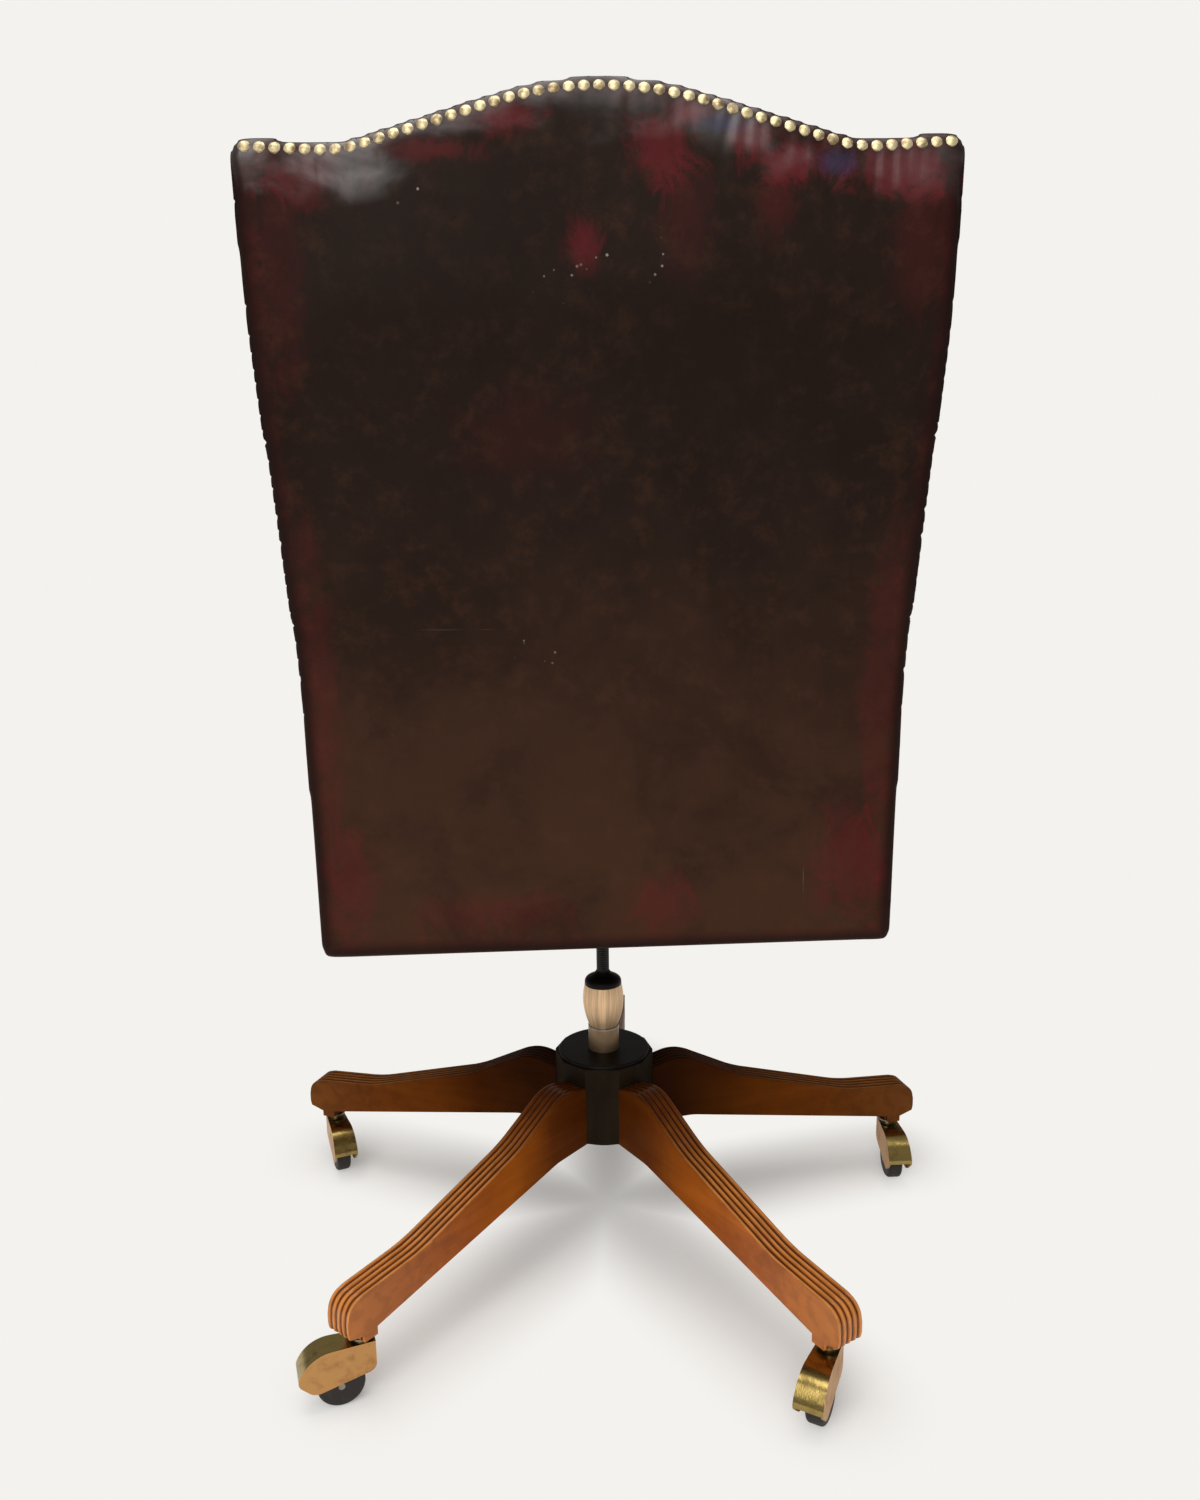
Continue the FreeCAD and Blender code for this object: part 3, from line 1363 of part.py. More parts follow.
def back_nails():
    """Domed nails on the rolled top edge of the leather, evenly spaced round the crown."""
    tilt = math.radians(NAIL_TILT)
    roll = float(S.back_edge_roll)
    corners = back_outline(roll * (1 - math.sin(tilt)))
    upper = [c for c in corners if c[1] > float(SHOULDER_HEIGHT)]
    for end, onward in ((0, 1), (-1, -2)):
        across, up, _ = upper[end]
        run, rise_by = upper[onward][0] - across, upper[onward][1] - up
        share = float(S.nail_end_gap) / abs(run)
        upper[end] = (across + run * share, up + rise_by * share, 0.0)
    line = run_edges(upper, side_on, closed=False)
    way = Part.Wire(line)
    count = round(way.Length / float(S.nail_pitch)) + 1
    base, rise = float(S.nail_radius), float(S.nail_height)
    ball = (base ** 2 + rise ** 2) / (2 * rise)
    cut_angle = math.degrees(math.asin((ball - rise) / ball))
    panel = pieces["outside_back"].Shape
    spots = way.discretize(count)
    heads = []
    for i, spot in enumerate(spots):
        along = spots[min(i + 1, count - 1)] - spots[max(i - 1, 0)]
        outward = FreeCAD.Vector(along.z, 0, -along.x).normalize()
        axis = outward * math.sin(tilt) + vec(0, math.cos(tilt), 0)
        seat = vec(spot.x, depth_at(spot.z, 0.0) - roll * (1 - math.cos(tilt)), spot.z)
        dome = Part.makeSphere(ball, seat - axis * (ball - rise), axis, cut_angle, 90.0, 360.0)
        skirt = Part.makeCylinder(base, rise, seat - axis * rise, axis)
        heads.append(largest(dome.fuse(skirt).removeSplitter().cut(panel)))
    node("back_nails", shaped("back_nails", Part.makeCompound(heads)))


# Armrests


def armrest_shape():
    """A sawn armrest seen from the side: a sloping rail that turns down into a shaped post."""
    joint = float(seat_rear())
    top, thick, drop = float(ARMREST_TOP), float(S.armrest_depth), float(S.armrest_drop)
    front, foot = -float(S.armrest_front), -float(S.post_foot_out)
    foot_height = float(RAIL_TOP)
    waist = foot_height + (top - foot_height) * POST_WAIST_SHARE
    shift = float(S.post_waist_shift)
    foot_wide, waist_wide = float(S.post_foot_width), float(S.post_waist_width)
    soft = float(S.post_round)
    corners = [
        (joint, top, 0.0),
        (front, top - drop, float(S.armrest_scroll_round)),
        (front, top - drop - thick * SCROLL_SHARE, thick / 2),
        (foot + shift, waist, soft),
        (foot, foot_height, 0.0),
        (foot + foot_wide, foot_height, 0.0),
        (foot + shift + waist_wide, waist, soft),
        (foot + shift + waist_wide + thick, top - thick - drop / 2, soft / 2),
        (joint, top - thick, 0.0),
    ]
    half = float(S.armrest_thick) / 2
    solid = prism(corners, facing, vec(-half, 0, 0), vec(half * 2, 0, 0))
    edges = []
    for edge in solid.Edges:
        box = edge.BoundBox
        at_foot = box.ZMax < foot_height + SAME
        at_joint = box.YMin > joint - SAME
        if box.XLength < SAME and not at_foot and not at_joint:
            edges.append(edge)
    return solid.makeFillet(float(S.armrest_edge_round), edges)


def pad_shape():
    """The padded leather on an armrest, crowned along and across."""
    joint = float(seat_rear())
    rise = float(S.armrest_drop) / (joint + float(S.armrest_front))
    wide, high = float(S.arm_pad_width) / 2, float(S.arm_pad_height)
    start = joint - float(S.inside_thick + S.inside_crown + S.inside_side_draw)
    rings = []
    for share, swell in PAD_RING_SHARES:
        y = start - float(S.arm_pad_length) * share
        base = float(ARMREST_TOP) - rise * (joint - y)
        half = wide * (PAD_WIDTH_SHARES[0] + PAD_WIDTH_SHARES[1] * swell)
        left, right = vec(-half, y, base), vec(half, y, base)
        rings.append(Part.Wire([
            Part.LineSegment(left, right).toShape(),
            Part.Arc(right, vec(0, y, base + high * swell), left).toShape(),
        ]))
    return Part.makeLoft(rings, True, False)


def armrests():
    frame, pad = armrest_shape(), pad_shape()
    joint = float(seat_rear())
    out = float(seat_half_width(seat_rear()) - S.rail_thick / 2)
    room = pieces["inside_back"].Shape
    for side, name in ((1, "left"), (-1, "right")):
        turn = FreeCAD.Rotation(vec(0, 0, 1), SEAT_FLARE * side)
        shift = vec(out * side, joint, 0) - turn.multVec(vec(0, joint, 0))
        for label, shape in (("arm_frame_" + name, frame), ("arm_pad_" + name, pad)):
            solid = shape.copy()
            solid.Placement = FreeCAD.Placement(shift, turn)
            if shape is frame:
                solid = largest(solid.cut([room, pieces["stile_" + name].Shape]))
            node(label, shaped(label, solid))


def write_parts():
    """Checks every object and writes one file for each sub-part."""
    doc.recompute()
    for thing in doc.Objects:
        bad = [state for state in thing.State if state in ("Invalid", "Error")]
        if bad:
            raise ValueError("%s is %s" % (thing.Label, bad))
    for label, thing in pieces.items():
        shape = thing.Shape
        empty = shape.isNull() or not shape.Solids or shape.Volume < SAME
        if empty or not shape.isValid():
            raise ValueError("%s has no valid solid" % label)
    os.makedirs("parts", exist_ok=True)
    for label, thing in pieces.items():
        thing.Shape.exportStep("parts/%s.step" % label)
    print("%d sub-parts written" % len(pieces))


hub()
cap_and_column()
spider()
arms()
castor_sockets()
castors()
height_nut()
spindle()
housing()
tension_set()
seat_plate()
bearers()
seat_rails()
seat_border()
seat_cushion()
back_frame()
outside_back()
inside_back()
back_nails()
armrests()
write_parts()
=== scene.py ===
import math

import bmesh
import bpy
from bpy.props import FloatProperty, FloatVectorProperty, IntProperty, PointerProperty
from mathutils import Matrix, Vector, noise
from mathutils.bvhtree import BVHTree


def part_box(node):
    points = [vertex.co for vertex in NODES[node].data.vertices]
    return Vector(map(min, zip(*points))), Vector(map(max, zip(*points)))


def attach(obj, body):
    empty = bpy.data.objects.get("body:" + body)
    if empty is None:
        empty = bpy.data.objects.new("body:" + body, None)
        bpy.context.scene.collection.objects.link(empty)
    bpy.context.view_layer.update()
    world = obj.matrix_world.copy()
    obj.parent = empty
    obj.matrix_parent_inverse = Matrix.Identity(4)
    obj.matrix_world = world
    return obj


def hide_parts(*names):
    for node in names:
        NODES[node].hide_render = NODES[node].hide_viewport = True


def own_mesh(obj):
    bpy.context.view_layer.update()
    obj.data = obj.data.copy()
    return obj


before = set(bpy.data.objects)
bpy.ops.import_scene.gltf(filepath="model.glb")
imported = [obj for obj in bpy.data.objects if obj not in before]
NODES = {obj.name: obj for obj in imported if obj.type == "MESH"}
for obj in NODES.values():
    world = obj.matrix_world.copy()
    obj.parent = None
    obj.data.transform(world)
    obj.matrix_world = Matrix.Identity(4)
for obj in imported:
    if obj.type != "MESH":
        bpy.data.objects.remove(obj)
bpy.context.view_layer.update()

bl_info = {
    "name": "Swivel desk chair",
    "version": (1, 0, 0),
    "blender": (4, 5, 0),
    "location": "3D View > Sidebar > Desk chair",
    "description": "Leather, wood, brass and a studio for a tall-backed swivel desk chair",
    "category": "Object",
}

# The frame's own plain finishes, kept by the leather besides the outside back, and by the spindle
PLAIN_LEATHER = bpy.data.materials["oxblood_leather"]
PLAIN_BLACK = bpy.data.materials["black_metal"]

# Directions: the first arm, the step from arm to arm in degrees, and each castor
ARM_COUNT = 5
ARM_STEP = 72
BASE_TURN = math.radians(-93.6)
CASTOR_HEADINGS = [math.radians(a) for a in (84.0, 112.5, 18.0, 60.8, 91.0)]

# How light each arm is, from the first one round, as painted shade, and how dark the seat rails' stain is:
# the two near arms are lightest and the others are painted darker as if shaded
ARM_PAINTED_SHADES = (0.4, 0.3, 1.0, 1.0, 0.3)
RAIL_SHADE = 0.22

# How far the armrests turn outwards towards the front, in degrees
ARMREST_SPLAY = 5.1

# The distance under which two points are merged, and how strongly each round of smoothing pulls
MERGE_DISTANCE = 0.00001
SMOOTHING = 0.5

# Bands on the outside back, each 1 at its line and 0 at its reach, and kept as attributes of the mesh; the
# nail band drives a painted shadow round the nails and the side band a painted shade along the sides
BACK_BANDS = ("edge", "rim", "crest", "nail")
EDGE_REACH = 0.05
RIM_REACH = 0.026
CREST_REACH = 0.06

# The least outward lean of a point on the outer face, and how far under the top its sides ease off in full
FACE_TILT = 0.15
CREST_HOLD = 0.03

# The sag of the hem: how high up it begins, and the width over which it grows
HEM_REACH = 0.05
HEM_SPAN = 0.46

# A shallow hollow under the nails: its depth, how far down it lies and how wide it is
HOLLOW = (0.0012, 0.024, 0.012)

# Slow waves of the leather: their rate across, a place in the noise, their rate upwards and their height
WAVES = ((6, 1.7, 5, 0.0016), (17, 5.1, 13, 0.0005))

# How far pleats and nail shadows go down and aside, and how wide, long and slanted a pleat is
PLEAT_DROP = 0.07
PLEAT_ASIDE = 0.02
PLEAT_WIDTH = 0.0042
PLEAT_START = 0.006
PLEAT_SHORTEST = 0.010
PLEAT_SPREAD = 0.026
PLEAT_LEAN = 0.5
NAIL_SHADOW = 0.0062

# The pleats' strain: its share in the middle of the back, where it starts to grow, and over what width
MIDDLE_STRAIN = 0.45
STRAIN_FROM = 0.05
STRAIN_OVER = 0.12

# The deck under the cushion and the webbing's straps
DECK_GAP = 0.0003
STRAP_WIDTH = 0.05
STRAP_GAP = 0.0002

# The spindle, and how far its thread goes into the nut and stops short of the housing
SPINDLE_RADIUS = 0.0065
THREAD_INTO_NUT = 0.02
THREAD_BELOW_HOUSING = 0.0045

# The lamps' colour, and the five lines on the floor that the shadow fades away from
LAMP_COLOUR = (1.0, 0.985, 0.96)
ARM_LINE = 0.37
ARM_LINE_START = (0, -0.022, 0)
SHADOW_REACH = 0.105


def colour(red, green, blue):
    """An sRGB colour given as 0 to 255, as the linear numbers that shaders use."""
    shares = [c / 255 for c in (red, green, blue)]
    return tuple(c / 12.92 if c < 0.04045 else ((c + 0.055) / 1.055) ** 2.4 for c in shares)


def clamped(value):
    """A number held between 0 and 1."""
    return max(0.0, min(1.0, value))


def arm_turn(number):
    """The direction of an arm, counted from 0."""
    return BASE_TURN + math.radians(ARM_STEP * number)


# Sizes and colours that a user would change


class ChairLeather(bpy.types.PropertyGroup):
    """The oxblood leather and how it is pulled over the frame."""

    worn: FloatVectorProperty(name="Worn brown", description="Leather in the lower middle of the back",
                              subtype="COLOR", size=3, default=colour(62, 38, 24))
    dark: FloatVectorProperty(name="Dark brown", description="Leather in the upper part of the back",
                              subtype="COLOR", size=3, default=colour(32, 20, 14))
    red: FloatVectorProperty(name="Oxblood", description="Leather at the edges and in the patches",
                             subtype="COLOR", size=3, default=colour(98, 24, 30))
    fleck: FloatVectorProperty(name="Fleck", description="Bare specks where the dye has chipped",
                               subtype="COLOR", size=3, default=colour(150, 138, 124))
    voxel: FloatProperty(name="Mesh size", description="Mesh size of the leather on the back",
                         subtype="DISTANCE", default=0.003)
    border_voxel: FloatProperty(name="Border mesh size", description="Mesh size of the leather borders",
                                subtype="DISTANCE", default=0.0025)
    roll_lift: FloatProperty(name="Roll lift", description="How far the top roll swells above the nails",
                             subtype="DISTANCE", default=0.0032)
    roll_reach: FloatProperty(name="Roll reach", description="How far down the top roll swells",
                              subtype="DISTANCE", default=0.0045)
    fullness: FloatProperty(name="Fullness", description="How far the leather stands out all over",
                            subtype="DISTANCE", default=0.0014)
    hem_sag: FloatProperty(name="Hem sag", description="How much lower the hem hangs at its left end",
                           subtype="DISTANCE", default=0.0075)
    ease_reach: FloatProperty(name="Ease reach", description="Width of the eased band along the sides",
                              subtype="DISTANCE", default=0.030)
    ease_depth: FloatProperty(name="Ease depth", description="How far the leather eases off at the sides",
                              subtype="DISTANCE", default=0.0022)
    pucker: FloatProperty(name="Pucker depth", description="Depth of the pleats under the nails",
                          subtype="DISTANCE", default=0.0015)
    grain: FloatProperty(name="Grain", description="Height of the leather's grain",
                         subtype="DISTANCE", default=0.00009)


class ChairPadding(bpy.types.PropertyGroup):
    """The stuffed pieces."""

    voxel: FloatProperty(name="Mesh size", description="Mesh size of the stuffed pieces",
                         subtype="DISTANCE", default=0.006)
    pressure: FloatProperty(name="Stuffing pressure", description="Pressure that swells the covers",
                            default=4.0)
    frames: IntProperty(name="Settling frames", description="Frames that the covers take to settle",
                        default=20)
    seat_swell: FloatProperty(name="Seat swell", description="Most that the seat cover may rise",
                              subtype="DISTANCE", default=0.012)
    back_swell: FloatProperty(name="Back swell", description="Most that the inside back may swell",
                              subtype="DISTANCE", default=0.012)
    arm_swell: FloatProperty(name="Armrest swell", description="Most that an armrest pad may swell",
                             subtype="DISTANCE", default=0.004)
    deck_reach: FloatProperty(name="Deck reach", description="How far the deck goes past the cushion",
                              subtype="DISTANCE", default=0.020)
    deck_thick: FloatProperty(name="Deck thickness", description="Thickness of the deck's leather",
                              subtype="DISTANCE", default=0.004)


class ChairWood(bpy.types.PropertyGroup):
    """The reddish lacquered wood."""

    light: FloatVectorProperty(name="Light grain", description="Lighter bands of the grain",
                               subtype="COLOR", size=3, default=colour(196, 106, 26))
    deep: FloatVectorProperty(name="Deep grain", description="Darker bands of the grain",
                              subtype="COLOR", size=3, default=colour(146, 68, 6))
    # Dark brown for the painted shade in the grooves and towards the hub, and for small dark specks
    dark_specks_and_shade: FloatVectorProperty(name="Groove", description="Old polish left in the grooves",
                                subtype="COLOR", size=3, default=colour(34, 14, 7))
    # Painted highlight on the crests of the reeds
    reed_highlight: FloatVectorProperty(name="Reed", description="Rubbed crests of the reeds",
                              subtype="COLOR", size=3, default=colour(218, 146, 80))
    reed_pitch: FloatProperty(name="Reed pitch", description="Distance between two reeds",
                              subtype="DISTANCE", default=0.0064)


class ChairMetal(bpy.types.PropertyGroup):
    """Brass, steel and black metal."""

    brass: FloatVectorProperty(name="Castor brass", description="Polished bands of the castor hoods",
                               subtype="COLOR", size=3, default=colour(164, 142, 84))
    cheek: FloatVectorProperty(name="Hood cheek", description="Satin cheeks of the castor hoods",
                               subtype="COLOR", size=3, default=colour(196, 146, 88))
    nail: FloatVectorProperty(name="Nail brass", description="Heads of the upholstery nails",
                              subtype="COLOR", size=3, default=colour(222, 204, 160))
    nut: FloatVectorProperty(name="Nut brass", description="The height nut",
                             subtype="COLOR", size=3, default=colour(250, 212, 168))
    steel: FloatVectorProperty(name="Column steel", description="The column tube",
                               subtype="COLOR", size=3, default=colour(150, 124, 96))
    spring_keep: FloatProperty(name="Spring keep", default=0.52,
                               description="Share of its length that the spring keeps at full tilt")
    thread: FloatProperty(name="Thread pitch", description="Pitch of the spindle's thread",
                          subtype="DISTANCE", default=0.0025)


class ChairStage(bpy.types.PropertyGroup):
    """The camera and the light."""

    distance: FloatProperty(name="Camera distance", description="Level distance from the spindle",
                            subtype="DISTANCE", default=1.2186)
    height: FloatProperty(name="Camera height", description="Height above the floor",
                          subtype="DISTANCE", default=0.7848)
    bearing: FloatProperty(name="Camera bearing", description="Where the camera stands, from +X",
                           subtype="ANGLE", default=math.radians(88.95))
    pitch: FloatProperty(name="Camera pitch", description="How far the camera looks down",
                         subtype="ANGLE", default=math.radians(11.24))
    roll: FloatProperty(name="Camera roll", description="Turn about the line of sight",
                        subtype="ANGLE", default=math.radians(-0.75))
    lens: FloatProperty(name="Lens", description="Focal length on a frame 36 mm high",
                        default=1174.0 / 1500.0 * 36.0)
    paper: FloatVectorProperty(name="Paper", description="Floor and backdrop",
                               subtype="COLOR", size=3, default=colour(244, 242, 238))
    paper_shade: FloatProperty(name="Paper shade", description="Light that the floor throws back",
                               default=0.86)
    paper_glow: FloatProperty(name="Paper glow", description="Light that the floor adds in the shadow",
                              default=0.19)
    room_light: FloatProperty(name="Room light", description="Strength of the light from all round",
                              default=0.3)
    key_power: FloatProperty(name="Key lamp", description="Power of the lamp behind the camera",
                             subtype="POWER", default=52.0)
    top_power: FloatProperty(name="Top lamp", description="Power of the lamp above the chair",
                             subtype="POWER", default=46.0)


def settings(group):
    """The sizes and colours of one group."""
    return getattr(bpy.context.scene, "chair_" + group)


# Finishes


class Tone:
    """A value that a finish works out over a surface, with its sums written as Python."""

    def __init__(self, finish, socket):
        self.finish = finish
        self.socket = socket

    def worked(self, operation, first, second=0.0):
        return self.finish.add("ShaderNodeMath", {"operation": operation}, {0: first, 1: second})

    def __add__(self, other):
        return self.worked("ADD", self, other)

    __radd__ = __add__

    def __sub__(self, other):
        return self.worked("SUBTRACT", self, other)

    def __rsub__(self, other):
        return self.worked("SUBTRACT", other, self)

    def __mul__(self, other):
        return self.worked("MULTIPLY", self, other)

    __rmul__ = __mul__

    def __truediv__(self, other):
        return self.worked("DIVIDE", self, other)

    def __pow__(self, other):
        return self.worked("POWER", self, other)

    def __abs__(self):
        return self.worked("ABSOLUTE", self)

    def most(self, other):
        return self.worked("MAXIMUM", self, other)

    def least(self, other):
        return self.worked("MINIMUM", self, other)


class Finish:
    """A material and the nodes that make it."""

    def __init__(self, name):
        self.material = bpy.data.materials.new(name)
        self.material.use_nodes = True
        self.tree = self.material.node_tree
        self.tree.nodes.clear()

    def add(self, kind, choices=None, inputs=None, output=0):
        """Adds a node of a type, makes its choices, then gives its sockets values or links."""
        made = self.tree.nodes.new(kind)
        for name, value in (choices or {}).items():
            setattr(made, name, value)
        for name, value in (inputs or {}).items():
            socket = made.inputs[name]
            if isinstance(value, Tone):
                self.tree.links.new(value.socket, socket)
            elif socket.type == "RGBA":
                socket.default_value = (*value[:3], 1.0)
            else:
                socket.default_value = value
        return Tone(self, made.outputs[output]) if len(made.outputs) else made

    def place(self, turn=0.0, centre=(0, 0, 0), stretch=(1, 1, 1)):
        """Object coordinates, centred, turned about +Z and stretched."""
        spot = self.add("ShaderNodeTexCoord", output="Object")
        moved = self.add("ShaderNodeMapping", {"vector_type": "TEXTURE"}, {
            "Vector": spot, "Location": centre, "Rotation": (0, 0, turn)})
        return self.add("ShaderNodeVectorMath", {"operation": "MULTIPLY"}, {0: moved, 1: stretch})

    def parts(self, vector):
        """The three numbers of a vector."""
        first = self.add("ShaderNodeSeparateXYZ", inputs={"Vector": vector})
        outs = first.socket.node.outputs
        return [Tone(self, outs[axis]) for axis in "XYZ"]

    def mottle(self, place, scale, detail=4.0, rough=0.55, bend=0.0):
        """Cloudy noise between 0 and 1."""
        return self.add("ShaderNodeTexNoise", None, {
            "Vector": place, "Scale": scale, "Detail": detail, "Roughness": rough, "Distortion": bend})

    def cells(self, place, scale, feature="F1"):
        """The distance to the middle of the nearest of many small cells."""
        return self.add("ShaderNodeTexVoronoi", {"feature": feature}, {"Vector": place, "Scale": scale})

    def ease(self, value, low, high):
        """Rises smoothly from 0 at low to 1 at high."""
        return self.add("ShaderNodeMapRange", {"interpolation_type": "SMOOTHSTEP"}, {
            "Value": value, "From Min": low, "From Max": high, "To Min": 0.0, "To Max": 1.0})

    def blend(self, first, second, share):
        """Goes from the first colour to the second as the share rises."""
        return self.add("ShaderNodeMix", {"data_type": "RGBA", "clamp_factor": True}, {
            0: share, 6: first, 7: second}, output=2)

    def patch(self, place, centre, size, ragged):
        """A soft-edged patch round a point, its edge made ragged by a mottle."""
        off = self.add("ShaderNodeVectorMath", {"operation": "SUBTRACT"}, {0: place, 1: centre})
        shrunk = self.add("ShaderNodeVectorMath", {"operation": "MULTIPLY"}, {
            0: off, 1: tuple(1.0 / s for s in size)})
        reach = self.add("ShaderNodeVectorMath", {"operation": "LENGTH"}, {0: shrunk}, output="Value")
        return 1.0 - self.ease(reach + ragged, 0.25, 1.25)

    def bumped(self, height, depth):
        """The surface normal raised by a height between 0 and 1 of a depth in metres."""
        return self.add("ShaderNodeBump", None, {"Height": height, "Distance": depth, "Strength": 1.0})

    def done(self, base, rough, metal=0.0, normal=None, coat=0.0, coat_rough=0.2, coat_ior=1.5,
             specular=0.5):
        """The shader and its output."""
        inputs = {
            "Base Color": base, "Roughness": rough, "Metallic": metal, "Coat Weight": coat,
            "Coat Roughness": coat_rough, "Coat IOR": coat_ior, "Specular IOR Level": specular,
        }
        if normal is not None:
            inputs["Normal"] = normal
        shader = self.add("ShaderNodeBsdfPrincipled", None, inputs)
        self.add("ShaderNodeOutputMaterial", None, {"Surface": shader})
        return self.material


def scaled(shade, part):
    """A colour made darker or lighter."""
    return tuple(c * part for c in shade[:3])


def leather_grain(finish):
    """Fine pebbled grain with a few soft creases."""
    place = finish.place()
    pebble = finish.cells(place, 620.0, "SMOOTH_F1")
    fine = finish.mottle(place, 900.0, 3.0)
    crease = finish.mottle(place, 26.0, 5.0, 0.6, 1.2)
    return finish.bumped(pebble * 0.6 + fine * 0.4 + crease * 2.2, settings("leather").grain)


# Redder and darker places on the outside back: across and up in metres, reach both ways, strength
RED_PATCHES = (
    ((-0.045, 1.045), (0.026, 0.030), 0.85),
    ((-0.064, 1.070), (0.022, 0.010), 0.90),
    ((-0.110, 1.054), (0.020, 0.012), 0.90),
    ((-0.140, 1.036), (0.034, 0.016), 1.05),
    ((-0.128, 1.010), (0.018, 0.030), 0.35),
    ((-0.062, 0.995), (0.022, 0.046), 0.25),
    ((-0.220, 1.030), (0.046, 0.020), 0.95),
    ((-0.238, 0.985), (0.026, 0.060), 0.25),
    ((0.012, 0.983), (0.016, 0.020), 0.85),
    ((0.070, 1.066), (0.030, 0.012), 0.90),
    ((0.120, 1.046), (0.040, 0.010), 0.60),
    ((0.215, 1.030), (0.040, 0.022), 0.55),
    ((0.236, 0.960), (0.022, 0.090), 0.22),
    ((-0.048, 0.447), (0.034, 0.030), 0.45),
    ((-0.218, 0.484), (0.034, 0.056), 0.55),
    ((-0.236, 0.640), (0.016, 0.150), 0.30),
    ((0.224, 0.466), (0.026, 0.056), 0.45),
    ((0.238, 0.640), (0.014, 0.160), 0.30),
    ((0.100, 0.440), (0.070, 0.020), 0.30),
    ((0.060, 0.850), (0.060, 0.040), 0.14),
)
DARK_PATCHES = (
    ((-0.100, 0.900), (0.120, 0.090), 0.6),
    ((0.120, 0.960), (0.100, 0.080), 0.5),
    ((0.120, 0.800), (0.040, 0.040), 0.4),
)
# Painted bluish sheen in two places, a rub and a turned scratch: across and up, reach both ways
BLUE_SHEEN_PATCHES = (((-0.172, 1.036), (0.020, 0.010)), ((-0.088, 1.063), (0.022, 0.008)))
RUB = ((0.121, 0.690), (0.050, 0.009))
SCRATCH = ((-0.186, 0.478), (0.020, 0.050))
# Clusters of bare flecks: across and up, reach
FLECK_ZONES = (
    ((0.133, 1.012), 0.016),
    ((0.034, 0.961), 0.022),
    ((-0.003, 0.973), 0.022),
    ((-0.043, 0.975), 0.022),
    ((0.0535, 0.679), 0.022),
)


def back_leather():
    """Oxblood leather worn brown in the middle, redder towards its edges and in ragged patches."""
    own = settings("leather")
    low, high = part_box("outside_back")
    finish = Finish("back_leather")
    place = finish.place()
    x, _, z = finish.parts(place)
    streaked = finish.place(stretch=(1.0, 1.0, 0.6))
    ragged = (finish.mottle(streaked, 36.0, 10.0, 0.78, 0.8) - 0.5) * 3.6
    broad = finish.mottle(place, 5.5, 5.0, 0.6)
    fine = finish.mottle(place, 46.0, 6.0, 0.7)
    edge, rim, crest, nail = [
        finish.add("ShaderNodeAttribute", {"attribute_name": name}, output="Fac") for name in BACK_BANDS]

    def spot(centre, size, edge_noise=0.0):
        """A patch on the outer face."""
        return finish.patch(place, (centre[0], high[1], centre[1]), (size[0], 1.0, size[1]), edge_noise)

    height = finish.ease(z + (broad - 0.5) * 0.16, low[2] + 0.06, high[2] - 0.22)
    base = finish.blend(own.worn, own.dark, height)
    cloud = finish.ease(finish.mottle(place, 9.0, 7.0, 0.62, 0.5), 0.40, 0.66)
    base = finish.blend(base, scaled(own.dark, 0.72), cloud * 0.5)
    base = finish.blend(base, scaled(own.worn, 1.3), finish.ease(fine, 0.46, 0.72) * 0.32)
    red = finish.ease(edge + (fine - 0.5) * 0.5, 0.6, 1.0) * 0.4
    for centre, size, strength in RED_PATCHES:
        red = red + spot(centre, size, ragged) * strength
    base = finish.blend(base, own.red, (red * 0.68).least(0.7))
    # Painted bluish sheen on the leather
    first, second = [spot(centre, size, ragged) for centre, size in BLUE_SHEEN_PATCHES]
    base = finish.blend(base, colour(44, 50, 84), (first + second).least(1.0) * 0.45)
    for centre, size, strength in DARK_PATCHES:
        base = finish.blend(base, scaled(own.dark, 0.8), spot(centre, size, ragged) * strength)
    chip = 1.0 - finish.ease(finish.cells(place, 150.0), 0.10, 0.2)
    keep = finish.ease(finish.mottle(place, 75.0, 1.0), 0.53, 0.56)
    zones = [spot(centre, (size, size)) for centre, size in FLECK_ZONES]
    zone = zones[0]
    for other in zones[1:]:
        zone = zone.most(other)
    base = finish.blend(base, own.fleck, (chip * keep * zone).least(1.0) * 0.85)
    along = finish.mottle(finish.place(math.radians(1.5), stretch=(9.0, 1.0, 420.0)), 1.0, 4.0)
    upright = finish.mottle(finish.place(stretch=(420.0, 1.0, 11.0)), 1.0, 4.0)
    rub = finish.ease(along, 0.62, 0.72) * spot(*RUB) + finish.ease(upright, 0.66, 0.74) * spot(*SCRATCH)
    base = finish.blend(base, scaled(own.fleck, 0.55), rub.least(1.0) * 0.6)
    # Painted shadow round each nail head
    base = finish.blend(base, scaled(own.dark, 0.35), nail * 0.85)
    # Painted shade along the rolled sides of the back
    base = finish.blend(base, scaled(own.dark, 0.5), finish.ease(rim, 0.35, 0.9) * 0.85)
    broad_shine = finish.mottle(finish.place(stretch=(1.0, 1.0, 1.6)), 14.0, 6.0, 0.5, 0.3)
    shine = finish.ease(broad_shine, 0.36, 0.68)
    outward = finish.ease(abs(x), 0.04, 0.16)
    gloss = finish.ease(crest + (shine - 0.5) * 0.3, 0.3, 0.95) * (0.5 + outward * 0.5)
    rough = 0.46 + cloud * 0.08 + fine * 0.08 + edge * 0.2 - gloss * 0.2
    coat = gloss * (0.12 + shine * 0.88)
    return finish.done(base, rough, normal=leather_grain(finish), coat=coat, coat_rough=0.32,
                       coat_ior=1.8, specular=0.08)


